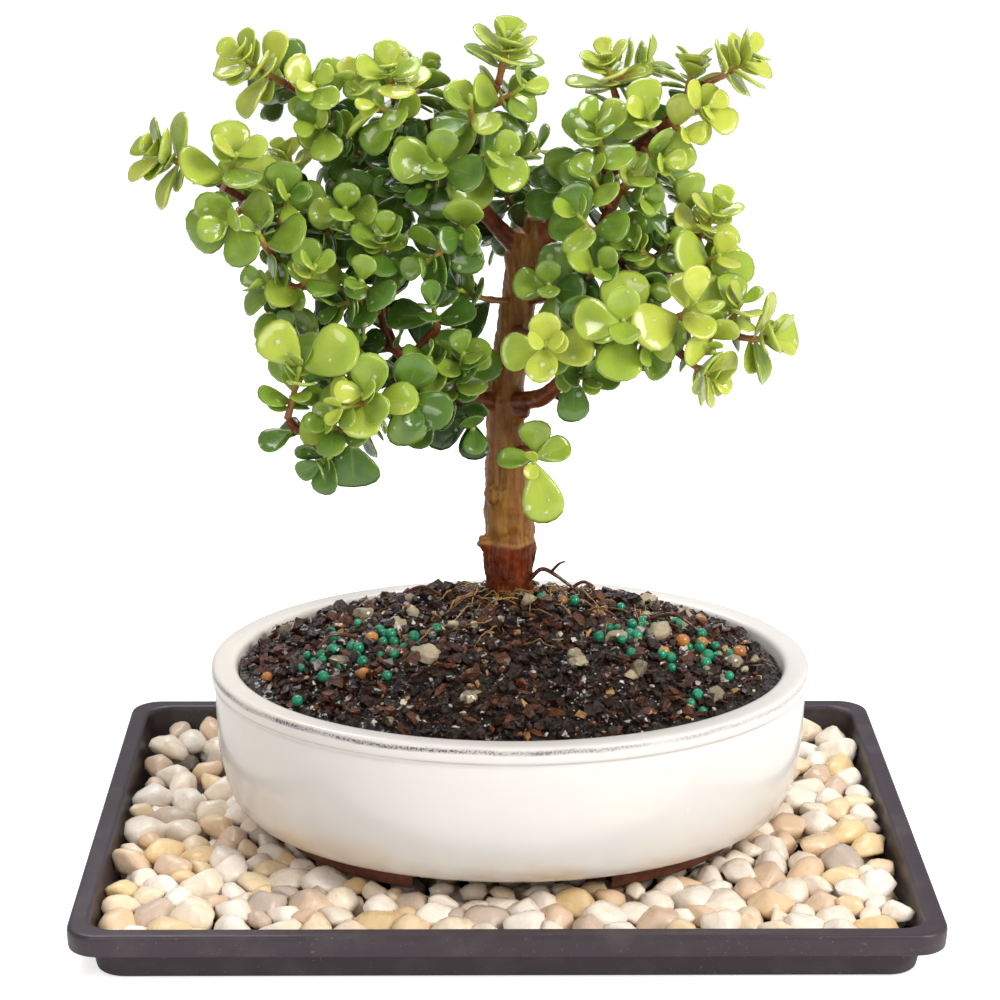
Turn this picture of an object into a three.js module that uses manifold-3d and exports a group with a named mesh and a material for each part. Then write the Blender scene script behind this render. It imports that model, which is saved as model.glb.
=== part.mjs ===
// Dwarf jade bonsai in an oval glazed pot, which stands on a bed of pebbles in a humidity tray.
// Millimetres, +Z up. The origin lies under the middle of the tray, on the surface that it
// stands on. +X runs along the tray, and the front of the tree looks along -Y.
import * as THREE from 'three';
import { mergeVertices } from 'three/addons/utils/BufferGeometryUtils.js';
import Module from 'manifold-3d';

const wasm = await Module();
wasm.setup();

// Driving dimensions
const GAP = 0.3;
const TRAY = { length: 280, width: 206, height: 18, floor: 2, corner: 9, cornerDraft: 0.4, leastCorner: 3 };
const POT = { x: 2, y: -1, length: 204.5, width: 168, sides: 24, foot: 13.3, floor: 24.6, rim: 74 };
const BED = { top: 11.5, plateau: 13, plateauInset: 20.5, stepX: 19, stepY: 16, reachX: 121, reachY: 84 };
const TRUNK_FOOT = { x: 1.5, y: 20 };
const SOIL = { rim: 68.5, inset: 9.6, dome: 19.5, collar: 3, collarReach: 18 };
const DRAIN = { offset: 45, radius: 9, screen: 26, thickness: 0.8, opening: 6, pitch: 5 };
const TWIG = { base: 1.5, tip: 1.05, neck: 1.7, seat: 1.6, firstPair: 0.3, lastPair: 0.92, sag: 0.1 };
const LEAF = { scale: 1.14, width: 0.82, thickness: 0.135, least: 1.5, clearance: 0.8, kinClearance: 0.3 };

// Materials
const finish = (color, roughness) => new THREE.MeshStandardMaterial({ color, roughness, metalness: 0 });
const TRAY_PLASTIC = finish(0x3a2a33, 0.42);
const PEBBLE_STONE = finish(0xe6dcc4, 0.6);
const POT_GLAZE = finish(0xf1ede2, 0.2);
const SCREEN_PLASTIC = finish(0x23282b, 0.6);
const SOIL_MIX = finish(0x33241b, 0.95);
const BARK = finish(0x7d5034, 0.65);
const JADE_LEAF = finish(0x8fb53a, 0.3);

// Seeded dice: the same seed always throws the same numbers between 0 and 1
function dice(seed) {
  let state = seed;
  return () => {
    state = (state * 48271) % 2147483647;
    return state / 2147483647;
  };
}

const radians = THREE.MathUtils.degToRad;
const vector = (values) => new THREE.Vector3(values[0], values[1], values[2]);

// Closed body through rings of equal count, which turn counter-clockwise about the way they advance
function loft(rings) {
  const count = rings[0].length;
  const last = (rings.length - 1) * count;
  const index = [];
  for (let r = 0; r < rings.length - 1; r += 1) {
    for (let j = 0; j < count; j += 1) {
      const a = r * count + j;
      const b = r * count + ((j + 1) % count);
      index.push(a, b, b + count, a, b + count, a + count);
    }
  }
  for (let j = 1; j < count - 1; j += 1) {
    index.push(0, j + 1, j);
    index.push(last, last + j, last + j + 1);
  }
  return bodyOf(rings.flat(), index);
}

function bodyOf(points, index) {
  const geometry = new THREE.BufferGeometry();
  geometry.setAttribute('position', new THREE.Float32BufferAttribute(points.flatMap((p) => p.toArray()), 3));
  geometry.setIndex(index);
  return geometry;
}

// Solids for joining and cutting, and back again
function solid(geometry) {
  const bare = geometry.clone();
  bare.deleteAttribute('normal');
  bare.deleteAttribute('uv');
  const merged = mergeVertices(bare, 1e-4);
  return new wasm.Manifold(new wasm.Mesh({
    numProp: 3,
    vertProperties: new Float32Array(merged.attributes.position.array),
    triVerts: new Uint32Array(merged.index.array),
  }));
}

const join = (solids) => solids.reduce((whole, next) => whole.add(next));

function piece(name, shape, material) {
  const cut = shape.getMesh();
  const geometry = new THREE.BufferGeometry();
  geometry.setAttribute('position', new THREE.Float32BufferAttribute(cut.vertProperties, 3));
  geometry.setIndex(Array.from(cut.triVerts));
  geometry.computeVertexNormals();
  const mesh = new THREE.Mesh(geometry, material);
  mesh.name = name;
  return mesh;
}

// Outlines seen from above: an oval and a rectangle with round corners, each drawn in by an inset
function oval(inset, z) {
  return Array.from({ length: POT.sides }, (_, i) => {
    const a = (i / POT.sides) * 2 * Math.PI;
    return new THREE.Vector3(
      POT.x + (POT.length / 2 - inset) * Math.cos(a),
      POT.y + (POT.width / 2 - inset) * Math.sin(a),
      z,
    );
  });
}

function roundedRectangle(inset, z) {
  const steps = 3;
  const radius = Math.max(TRAY.corner - inset * TRAY.cornerDraft, TRAY.leastCorner);
  const points = [];
  for (let corner = 0; corner < 4; corner += 1) {
    const signX = corner === 0 || corner === 3 ? 1 : -1;
    const signY = corner < 2 ? 1 : -1;
    for (let i = 0; i <= steps; i += 1) {
      const a = radians(90 * (corner + i / steps));
      points.push(new THREE.Vector3(
        signX * (TRAY.length / 2 - inset - radius) + radius * Math.cos(a),
        signY * (TRAY.width / 2 - inset - radius) + radius * Math.sin(a),
        z,
      ));
    }
  }
  return points;
}

const profile = (outline, steps) => steps.map(([inset, z]) => outline(inset, z));

// Humidity tray: a flange round the rim, drafted walls and a flat floor, as insets and heights
const TRAY_OUTSIDE = [
  [9.5, 0], [8.2, 1.2], [6.8, TRAY.height - 7.3], [0.6, TRAY.height - 7.3], [0, TRAY.height - 0.8],
];
const TRAY_WALL = [[6.8, TRAY.height - 1.6], [10.2, TRAY.floor + 1.2]];
const TRAY_INSIDE = [[0.8, TRAY.height], [5.6, TRAY.height], ...TRAY_WALL, [11.4, TRAY.floor]];

function makeTray() {
  return solid(loft(profile(roundedRectangle, [...TRAY_OUTSIDE, ...TRAY_INSIDE])));
}

function wallInset(z) {
  const [[headInset, head], [footInset, foot]] = TRAY_WALL;
  return THREE.MathUtils.mapLinear(z, foot, head, footInset, headInset);
}

// Bed of pebbles: stones laid close together, joined below where they bury each other
function makePebbleBed() {
  const roll = dice(4021);
  const middle = (TRAY.floor + BED.top) / 2;
  const base = [
    [TRAY_INSIDE[TRAY_INSIDE.length - 1][0] + GAP, TRAY.floor + GAP],
    [wallInset(middle) + GAP, middle],
    [wallInset(BED.top) + 2 * GAP, BED.top],
  ];
  const plateau = [[BED.plateauInset, BED.top - 3], [BED.plateauInset, BED.plateau]];
  const stones = [solid(loft(profile(roundedRectangle, base))), solid(loft(profile(oval, plateau)))];
  const rows = Math.ceil(TRAY.width / 2 / BED.stepY) - 1;
  const columns = Math.ceil(TRAY.length / 2 / BED.stepX);
  for (let row = -rows; row <= rows; row += 1) {
    for (let column = -columns; column <= columns; column += 1) {
      const stone = rollStone(roll, row, column);
      const belly = Math.hypot((stone.x - POT.x) / (POT.length / 2), (stone.y - POT.y) / (POT.width / 2));
      const inTray = Math.abs(stone.x) < BED.reachX && Math.abs(stone.y) < BED.reachY;
      if (inTray && belly > BED_CLEAR) {
        stones.push(solid(loft([stoneRing(stone, 1, -1.5, 0), stoneRing(stone, 0.58, stone.size[2], 1)])));
      }
    }
  }
  return join(stones);
}

// A stone stands where its throws put it, with a size, a turn and a lean of its own
const BED_CLEAR = 0.87;

function rollStone(roll, row, column) {
  return {
    x: (column + (row % 2) * 0.5) * BED.stepX + (roll() - 0.5) * 4,
    y: row * BED.stepY + (roll() - 0.5) * 4,
    size: [9.2 + roll() * 1.4, 7.8 + roll() * 1.2, 4.4 + roll() * 1.4],
    turn: roll() * Math.PI,
    lean: [(roll() - 0.5) * 0.3, (roll() - 0.5) * 0.3],
  };
}

function stoneRing(stone, share, height, shift) {
  const { x, y, size, turn, lean } = stone;
  return [0, 1, 2, 3, 4, 5].map((side) => {
    const a = (side * Math.PI) / 3;
    const along = size[0] * (share * Math.cos(a) + shift * lean[0]);
    const across = size[1] * (share * Math.sin(a) + shift * lean[1]);
    return new THREE.Vector3(
      x + along * Math.cos(turn) - across * Math.sin(turn),
      y + along * Math.sin(turn) + across * Math.cos(turn),
      BED.top + height,
    );
  });
}

// Oval pot: four unglazed feet, rounded belly, lip, and two drain holes in its floor
const FEET = { height: 6.9, frontNotch: 66, endNotch: 50 };
const POT_OUTSIDE = [
  [29, POT.foot + FEET.height], [28.6, POT.foot], [22, POT.foot], [21.8, 20.7], [17.4, 21.4], [8.8, 24.6],
  [4.3, 33.2], [1.6, 48], [0.8, POT.rim - 7.4], [0, POT.rim - 6], [0, POT.rim - 1.6], [1.6, POT.rim],
];
const POT_INSIDE = [[7, POT.rim], [8.7, POT.rim - 1.8], [12, 42], [18, 29.5], [30, POT.floor]];

function drainHole(side) {
  const hole = new THREE.CylinderGeometry(DRAIN.radius, DRAIN.radius, 12, 10);
  hole.rotateX(Math.PI / 2);
  hole.translate(POT.x + side * DRAIN.offset, POT.y, (POT.foot + POT.floor) / 2);
  return solid(hole);
}

function footNotch(lengthX, lengthY) {
  const top = FEET.height - 0.2;
  const notch = new THREE.BoxGeometry(lengthX, lengthY, 2 * top);
  notch.translate(POT.x, POT.y, POT.foot);
  return solid(notch);
}

function makePot() {
  const shell = solid(loft(profile(oval, [...POT_OUTSIDE, ...POT_INSIDE])));
  const notches = [footNotch(FEET.frontNotch, POT.width), footNotch(POT.length, FEET.endNotch)];
  const cuts = [drainHole(-1), drainHole(1), ...notches];
  return cuts.reduce((pot, cut) => pot.subtract(cut), shell);
}

// Drain screens: small square plates with holes, which keep the soil above the drain holes
function makeDrainScreen(side) {
  const place = (width, x, y) => {
    const depth = width < DRAIN.screen ? 2 * DRAIN.thickness : DRAIN.thickness;
    const shape = new THREE.BoxGeometry(width, width, depth);
    shape.translate(POT.x + side * DRAIN.offset + x, POT.y + y, POT.floor + GAP + DRAIN.thickness / 2);
    return solid(shape);
  };
  let screen = place(DRAIN.screen, 0, 0);
  for (const x of [-DRAIN.pitch, DRAIN.pitch]) {
    for (const y of [-DRAIN.pitch, DRAIN.pitch]) {
      screen = screen.subtract(place(DRAIN.opening, x, y));
    }
  }
  return screen;
}

// Soil: it fills the pot, rises to a mound round the trunk and carries stones and feed beads
const SOIL_EDGE = 9;
const reachInPot = (x, y) => (
  Math.hypot((x - POT.x) / (POT.length / 2 - SOIL_EDGE), (y - POT.y) / (POT.width / 2 - SOIL_EDGE)));
const fromTrunk = (x, y) => Math.hypot(x - TRUNK_FOOT.x, y - TRUNK_FOOT.y);

function soilHeight(x, y) {
  const reach = reachInPot(x, y);
  const dome = SOIL.dome * Math.max(1 - reach * reach, 0) ** 0.9;
  const collar = SOIL.collar * Math.exp(-((fromTrunk(x, y) / SOIL.collarReach) ** 2));
  const broadLumps = 1.1 * Math.sin(0.08 * x + 1.3) * Math.cos(0.09 * y);
  const smallLumps = 0.8 * Math.sin(0.12 * x - 0.1 * y + 0.5);
  const fade = Math.min(1, 2.5 * (1.02 - reach));
  return SOIL.rim + dome + collar + (broadLumps + smallLumps) * fade;
}

const SOIL_WALL = [[31, POT.floor + 0.4], [18.8, 29.8], [12.5, 42]];

function makeSoil(trunkHole) {
  const rings = profile(oval, SOIL_WALL);
  for (const share of [1, 0.86, 0.68, 0.46, 0.22]) {
    const ring = oval(SOIL.inset, 0).map((p) => {
      const x = POT.x + (p.x - POT.x) * share;
      const y = POT.y + (p.y - POT.y) * share;
      return new THREE.Vector3(x, y, soilHeight(x, y));
    });
    rings.push(ring);
  }
  const mound = [solid(loft(rings))];
  for (const grain of soilGrains()) {
    const shape = new THREE.OctahedronGeometry(grain.radius, 0);
    shape.scale(1, 1, grain.flat);
    shape.rotateZ(grain.turn);
    shape.translate(grain.x, grain.y, soilHeight(grain.x, grain.y) - 0.1 * grain.radius);
    mound.push(solid(shape));
  }
  let soil = join(mound).subtract(trunkHole);
  for (const side of [-1, 1]) {
    const room = DRAIN.screen + 2 * GAP;
    const recess = new THREE.BoxGeometry(room, room, 2 * (DRAIN.thickness + 2 * GAP));
    recess.translate(POT.x + side * DRAIN.offset, POT.y, POT.floor);
    soil = soil.subtract(solid(recess));
  }
  return soil;
}

// Feed beads lie in two drifts, left and right of the trunk, and stones lie between them
const DRIFTS = [
  { x: -50, y: -18, spreadX: 34, spreadY: 34, beads: 9 },
  { x: 56, y: -12, spreadX: 32, spreadY: 38, beads: 11 },
];
const BEAD = { radius: 2.2, large: 2.7 };
const STONES = 8;

function soilGrains() {
  const roll = dice(977);
  const grains = [];
  for (const drift of DRIFTS) {
    for (let i = 0; i < drift.beads; i += 1) {
      const radius = i % 5 === 0 ? BEAD.large : BEAD.radius;
      const x = drift.x + (roll() + roll() - 1) * drift.spreadX;
      const y = drift.y + (roll() + roll() - 1) * drift.spreadY;
      grains.push({ x, y, radius, flat: 1, turn: roll() * Math.PI });
    }
  }
  for (let i = 0; i < STONES; i += 1) {
    const angle = (i + roll() * 0.7) * 2.4;
    const far = 24 + roll() * 22;
    const x = POT.x + far * 1.45 * Math.cos(angle);
    const y = POT.y + far * 1.05 * Math.sin(angle);
    grains.push({ x, y, radius: 3.4 + roll() * 2, flat: 0.7, turn: roll() * Math.PI });
  }
  return grains.filter(({ x, y }) => fromTrunk(x, y) > 14 && reachInPot(x, y) < 0.91);
}

// Tree. Each limb is a list of places on its centre line, with the wood's radius there
const LIMBS = {
  trunk: [
    [1.5, 20, 56, 5.6], [1.5, 20, 84, 7.4], [1.8, 20, 96, 8.2], [1.7, 19, 107.5, 9.3], [2, 19, 111, 8.8],
    [1.2, 18, 124, 8.4], [0.5, 17, 141, 7.2], [0, 16, 156, 6.5], [0, 16, 160.5, 7.1], [0, 16, 165, 6.3],
    [1, 15, 171, 6.2], [3.2, 14, 189, 6.2], [5.8, 13, 203, 6.5], [6.7, 12, 212.5, 7], [7.3, 12, 220, 5.6],
  ],
  rightArm: [
    [8, 12, 212, 4.4], [14.5, 9, 220, 4.1], [22.5, 5, 230, 3.6], [30.5, 1, 239.5, 3.2], [38.5, -2, 247, 2.8],
    [48, -4, 255.5, 2.4], [56, -6, 263.5, 2], [63.5, -8, 272, 1.7],
  ],
  leftArm: [
    [5.5, 12, 212.5, 3.8], [-3, 8, 222, 3.1], [-10.5, 3, 232.5, 2.7], [-14.5, 0, 241.5, 2.4],
    [-12, -2, 252.5, 2.1], [-7, -1, 263, 1.9], [-3, 0, 270.5, 1.6],
  ],
  crownLeft: [[-12.5, 2, 236.5, 2.2], [-22, 6, 244.5, 2], [-31, 4, 256.5, 1.8], [-36.5, 0, 265, 1.6]],
  farLeftTop: [
    [-13, 4, 235, 2.3], [-28.5, 16, 238.5, 2.2], [-43.5, 18, 245, 2], [-55, 14, 254.5, 1.8],
    [-65, 8, 264.5, 1.7], [-72, 4, 270, 1.5],
  ],
  leftMiddle: [
    [-22, 6, 244.5, 2], [-35, 14, 230.5, 2], [-53.5, 14, 225, 1.9], [-64, 8, 229, 1.7], [-67.5, 4, 237, 1.5],
  ],
  farLeft: [
    [-64, 8, 229, 1.7], [-73.5, 0, 230.5, 1.7], [-84.5, -6, 233.5, 1.6], [-94, -8, 240, 1.6],
    [-100, -10, 245.5, 1.5],
  ],
  lowLeft: [
    [0, 16, 160, 3.3], [-12, 6, 164, 2.9], [-22, -4, 169.5, 2.7], [-28.5, -11, 176.5, 2.6],
    [-32, -15, 181.5, 2.6],
  ],
  lowLeftUp: [
    [-32, -15, 181.5, 2.2], [-37, -14, 187, 2.1], [-40.5, -12, 195.5, 1.9], [-41.5, -10, 204.5, 1.8],
    [-41.5, -10, 211.5, 1.6],
  ],
  lowLeftOut: [
    [-37, -14, 187, 2.1], [-51.5, -4, 182.5, 2], [-62.5, -6, 185, 1.9], [-67.5, -10, 195, 1.8],
    [-72, -14, 209, 1.7], [-76, -18, 218, 1.5],
  ],
  lowLeftFork: [[-32, -15, 181.5, 2.1], [-27.5, -17, 188, 1.9], [-22.5, -22, 195, 1.6]],
  lowLeftDown: [
    [-32, -15, 181.5, 2.3], [-34.5, -26, 178.5, 2.1], [-40.5, -32, 172.5, 2], [-49.5, -36, 165, 1.9],
    [-59.5, -38, 163.5, 1.8], [-67, -38, 165, 1.6], [-70.5, -38.6, 169, 1.5],
  ],
  rightMiddle: [
    [6.5, 13, 196.5, 3.1], [16, 2, 201.5, 2.9], [24, -8, 207.5, 2.7], [28, -12, 214.5, 2.7],
    [30, -12, 223, 2.2], [33.5, -10, 232, 2], [37, -12, 239, 1.6],
  ],
  rightMiddleOut: [
    [28, -12, 214.5, 2.2], [38, -4, 212, 2.1], [49, 2, 209, 2], [59, 4, 209.5, 1.8], [61.5, 2, 217, 1.6],
  ],
  lowRight: [
    [2, 14, 180.5, 2.9], [13, 0, 183.5, 2.6], [25.5, -12, 189.5, 2.5], [40, -18, 194, 2.2],
    [51, -20, 196.5, 2], [64, -22, 196, 1.8], [75, -24, 192.5, 1.6],
  ],
  lowRightDown: [[46.5, -19, 195.5, 1.9], [53.5, -22, 189, 1.7], [58.5, -24, 184.5, 1.5]],
  shortRight: [[1, 14, 160.5, 3.3], [11.5, 4, 164.5, 3.1], [17.5, -2, 171, 2.6], [19, -4, 175.5, 1.7]],
  frontSpur: [[3, 13, 185.5, 2.3], [7.5, -10, 188.5, 2.1], [11.5, -26, 189, 1.6]],
  trunkSpur: [[1, 16, 141, 2.4], [8.5, 7, 145.5, 2], [12, 1, 149, 1.6]],
  rightUpper: [[38.5, -2, 247, 2.2], [37, 8, 255, 1.9], [36, 12, 264, 1.6]],
  backArm: [
    [7.5, 12, 214, 4], [8.5, 28, 215, 3.2], [6, 42, 218, 2.6], [2.5, 54, 223.5, 2.1], [0, 62, 229, 1.6],
  ],
  backLeft: [[8.5, 28, 215, 2.4], [-5, 42, 213, 2.2], [-18, 50, 213.5, 1.9], [-29, 52, 219, 1.6]],
  backRight: [[6, 42, 218, 2.3], [19.5, 52, 220.5, 2], [33, 54, 223.5, 1.7], [43.5, 52, 227.5, 1.5]],
};

// Leafy shoots. A shoot grows from a place on a limb, or on the first shoot of its own stem, to its tip.
// Pairs are opposite leaves, each pair a quarter turn from the last; leaf is the largest leaf's length,
// turn is the first pair's angle about the shoot, and age runs from fresh light leaves to old dark ones
const SHOOTS = [
  { stem: 1, from: [-72, 4, 270], tip: [-86, -6, 281], pairs: 4, leaf: 14, age: 0.15, turn: 60 },
  { stem: 2, from: [-100, -10, 245.5], tip: [-114, -14, 251], pairs: 4, leaf: 14, age: 0.3, turn: 20 },
  { stem: 3, from: [-92, -8, 238], tip: [-86, -22, 252], pairs: 3, leaf: 16, age: 0.35, turn: 10 },
  { stem: 4, from: [-84.5, -6, 233.5], tip: [-90, -26, 230], pairs: 3, leaf: 16, age: 0.5, turn: 30 },
  { stem: 5, from: [-76, -18, 218], tip: [-80, -26, 228], pairs: 3, leaf: 14, age: 0.4, turn: 0 },
  { stem: 6, from: [-67.5, 4, 237], tip: [-73, 0, 249], pairs: 4, leaf: 9, age: 0.02, turn: 40 },
  { stem: 7, from: [-65, 8, 264.5], tip: [-71, 22, 272], pairs: 3, leaf: 15, age: 0.9, turn: 0 },
  { stem: 7, from: [-68, 16, 268], tip: [-78, 26, 262], pairs: 2, leaf: 14, age: 0.85, turn: 0 },
  { stem: 8, from: [-36.5, 0, 265], tip: [-38, -8, 277], pairs: 4, leaf: 14, age: 0.25, turn: 0 },
  { stem: 9, from: [-31, 4, 256.5], tip: [-43, -16, 268], pairs: 3, leaf: 13, age: 0.35, turn: 40 },
  { stem: 9, from: [-37, -6, 260.9], tip: [-50, -8, 274], pairs: 2, leaf: 13, age: 0.3, turn: 0 },
  { stem: 10, from: [-34, 2, 261], tip: [-26, 10, 274], pairs: 4, leaf: 12, age: 0.4, turn: 20 },
  { stem: 11, from: [-3, 0, 270.5], tip: [0, -4, 286], pairs: 5, leaf: 13, age: 0.3, turn: 0 },
  { stem: 12, from: [-7, -1, 263], tip: [5, -18, 273], pairs: 3, leaf: 13, age: 0.35, turn: 0 },
  { stem: 13, from: [-11, -2, 254], tip: [-12, -18, 270], pairs: 4, leaf: 12, age: 0.3, turn: 30 },
  { stem: 14, from: [36, 12, 264], tip: [32, 8, 278], pairs: 4, leaf: 13, age: 0.3, turn: 0 },
  { stem: 14, from: [34.2, 10.2, 269.6], tip: [47, 12, 276], pairs: 3, leaf: 14, age: 0.45, turn: 0 },
  { stem: 15, from: [32, 1, 241], tip: [28, -22, 263], pairs: 4, leaf: 14, age: 0.5, turn: 45 },
  { stem: 16, from: [63.5, -8, 272], tip: [78, -12, 282], pairs: 4, leaf: 13, age: 0.25, turn: 20 },
  { stem: 17, from: [57, -6, 265], tip: [60, 0, 278], pairs: 3, leaf: 12, age: 0.35, turn: 0 },
  { stem: 18, from: [52, -5, 260], tip: [57, -20, 258], pairs: 2, leaf: 12, age: 0.3, turn: 90 },
  { stem: 19, from: [-20, 5, 243], tip: [-22, -28, 251], pairs: 3, leaf: 17, age: 0.4, turn: 80 },
  { stem: 20, from: [-13, -1, 247], tip: [-3, -28, 253], pairs: 3, leaf: 16, age: 0.45, turn: 60 },
  { stem: 21, from: [43, -3, 251], tip: [50, -18, 249], pairs: 3, leaf: 13, age: 0.45, turn: 10 },
  { stem: 22, from: [61.5, 2, 217], tip: [69, -6, 232], pairs: 4, leaf: 13, age: 0.25, turn: 0 },
  { stem: 22, from: [63, 0, 221], tip: [59, 12, 232], pairs: 3, leaf: 14, age: 0.5, turn: 0 },
  { stem: 23, from: [60, 4, 211], tip: [69, -16, 218], pairs: 3, leaf: 17, age: 0.35, turn: 90 },
  { stem: 24, from: [52, -20, 196.5], tip: [60, -36, 207], pairs: 2, leaf: 18, age: 0.3, turn: 20 },
  { stem: 25, from: [70, -23, 194], tip: [75, -30, 206], pairs: 3, leaf: 14, age: 0.35, turn: 0 },
  { stem: 26, from: [75, -24, 192.5], tip: [86, -28, 193], pairs: 3, leaf: 15, age: 0.35, turn: 0 },
  { stem: 27, from: [58.5, -24, 184.5], tip: [67, -28, 180], pairs: 3, leaf: 13, age: 0.35, turn: 90 },
  { stem: 28, from: [-49.5, -36, 165], tip: [-50, -43, 161], pairs: 0, leaf: 11, age: 0.85, turn: 0 },
  { stem: 29, from: [39, -17.5, 193.5], tip: [36, -44, 203], pairs: 3, leaf: 18, age: 0.3, turn: 90 },
  { stem: 30, from: [11.5, -26, 189], tip: [12, -46, 196], pairs: 3, leaf: 14, age: 0.2, turn: 0 },
  { stem: 31, from: [18, 0, 203], tip: [13, -24, 210], pairs: 3, leaf: 14, age: 0.4, turn: 90 },
  { stem: 32, from: [12, 1, 149], tip: [9, -14, 147], pairs: 1, leaf: 10, age: 0.2, turn: 90 },
  { stem: 33, from: [19, -4, 175.5], tip: [27, -18, 178], pairs: 3, leaf: 13, age: 0.45, turn: 90 },
  { stem: 34, from: [-11, 3, 232], tip: [-15, -30, 226], pairs: 3, leaf: 16, age: 0.4, turn: 0 },
  { stem: 34, from: [-13, -13.5, 227.3], tip: [-27, -27, 217], pairs: 3, leaf: 14, age: 0.45, turn: 30 },
  { stem: 35, from: [4, 14, 196], tip: [-17, -16, 207], pairs: 3, leaf: 15, age: 0.5, turn: 60 },
  { stem: 36, from: [-22.5, -22, 195], tip: [-24, -30, 205], pairs: 2, leaf: 14, age: 0.75, turn: 0 },
  { stem: 37, from: [-18, 0, 167], tip: [-14, -26, 188], pairs: 4, leaf: 14, age: 0.5, turn: 30 },
  { stem: 37, from: [-16, -13, 175.8], tip: [-26, -27, 187], pairs: 3, leaf: 13, age: 0.55, turn: 0 },
  { stem: 38, from: [-12, 6, 164], tip: [-11, -12, 158], pairs: 2, leaf: 16, age: 0.85, turn: 0 },
  { stem: 39, from: [-70.5, -38.6, 169], tip: [-66, -42, 188], pairs: 3, leaf: 12, age: 0.5, turn: 20 },
  { stem: 40, from: [-40.5, -32, 172.5], tip: [-46, -52, 181], pairs: 3, leaf: 15, age: 0.35, turn: 0 },
  { stem: 40, from: [-43, -44, 177.3], tip: [-53, -54, 177], pairs: 2, leaf: 12, age: 0.3, turn: 0 },
  { stem: 41, from: [-35, -26, 178], tip: [-30, -44, 175], pairs: 3, leaf: 16, age: 0.7, turn: 80 },
  { stem: 42, from: [-53.5, 14, 225], tip: [-52, -20, 234], pairs: 3, leaf: 15, age: 0.4, turn: 80 },
  { stem: 42, from: [-52.8, -1.3, 227.3], tip: [-62, -11, 222], pairs: 3, leaf: 13, age: 0.6, turn: 0 },
  { stem: 43, from: [-41.5, -10, 211.5], tip: [-39, -22, 226], pairs: 4, leaf: 14, age: 0.4, turn: 0 },
  { stem: 43, from: [-40.4, -15.4, 217.1], tip: [-50, -18, 226], pairs: 3, leaf: 14, age: 0.6, turn: 0 },
  { stem: 44, from: [-70, -12, 203], tip: [-61, -32, 218], pairs: 3, leaf: 14, age: 0.4, turn: 30 },
  { stem: 44, from: [-66.4, -20, 208], tip: [-79, -26, 210], pairs: 3, leaf: 13, age: 0.5, turn: 60 },
  { stem: 45, from: [-42, -10, 203], tip: [-47, -32, 213], pairs: 3, leaf: 14, age: 0.5, turn: 70 },
  { stem: 45, from: [-44, -18.8, 205.8], tip: [-55, -25, 203], pairs: 3, leaf: 14, age: 0.6, turn: 0 },
  { stem: 46, from: [-43.5, 18, 245], tip: [-47, 30, 233], pairs: 3, leaf: 14, age: 0.9, turn: 0 },
  { stem: 47, from: [-36, 17, 241.8], tip: [-40, 37, 247], pairs: 3, leaf: 14, age: 0.9, turn: 30 },
  { stem: 48, from: [49, 2, 209], tip: [52, -14, 224], pairs: 3, leaf: 14, age: 0.45, turn: 20 },
  { stem: 48, from: [50, -4, 213.6], tip: [40, -22, 223], pairs: 3, leaf: 14, age: 0.4, turn: 0 },
  { stem: 49, from: [37, -12, 239], tip: [40, -18, 246], pairs: 3, leaf: 13, age: 0.4, turn: 0 },
  { stem: 50, from: [30, -12, 223], tip: [22, -28, 234], pairs: 3, leaf: 14, age: 0.45, turn: 0 },
  { stem: 51, from: [0, 62, 229], tip: [-1, 66, 241], pairs: 4, leaf: 14, age: 0.45, turn: 0 },
  { stem: 51, from: [-0.3, 63.4, 233.5], tip: [13, 70, 237], pairs: 3, leaf: 14, age: 0.55, turn: 0 },
  { stem: 52, from: [-29, 52, 219], tip: [-42, 56, 223], pairs: 3, leaf: 15, age: 0.6, turn: 0 },
  { stem: 52, from: [-33.5, 53.3, 219.8], tip: [-26, 60, 229], pairs: 3, leaf: 14, age: 0.55, turn: 0 },
  { stem: 53, from: [43.5, 52, 227.5], tip: [56, 52, 232], pairs: 3, leaf: 15, age: 0.55, turn: 0 },
  { stem: 53, from: [48, 52, 228.4], tip: [43, 58, 240], pairs: 3, leaf: 14, age: 0.5, turn: 0 },
];

// Leaves that stand out on this tree, each placed by its root, its tip and the way its face looks
const CHOSEN_LEAVES = [
  {
    stem: 39, root: [-65, -41.6, 186], tip: [-47, -46, 197],
    face: [0.1, -0.8, 0.6], width: 18, age: 0.45,
  },
  {
    stem: 39, root: [-65.5, -41.8, 187], tip: [-78, -40, 200],
    face: [-0.2, -0.9, 0.4], width: 14.5, age: 0.35,
  },
  {
    stem: 28, root: [-50, -41.5, 162], tip: [-49.5, -43, 146.5],
    face: [0, -1, -0.2], width: 18.5, age: 0.85,
  },
  {
    stem: 32, root: [9.3, -12, 147], tip: [14, -17, 126],
    face: [0.1, -0.95, -0.25], width: 14.5, age: 0.05,
  },
  {
    stem: 32, root: [10.5, -6, 147.5], tip: [9.5, -10, 161],
    face: [0, -0.95, 0.3], width: 11.5, age: 0.5,
  },
  {
    stem: 32, root: [10, -9, 147.3], tip: [22, -8, 152],
    face: [-0.1, -0.9, 0.4], width: 9.5, age: 0.45,
  },
  {
    stem: 32, root: [10, -9, 147.3], tip: [-3.5, -11, 147],
    face: [0, -0.75, 0.6], width: 8, age: 0.5,
  },
];

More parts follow.
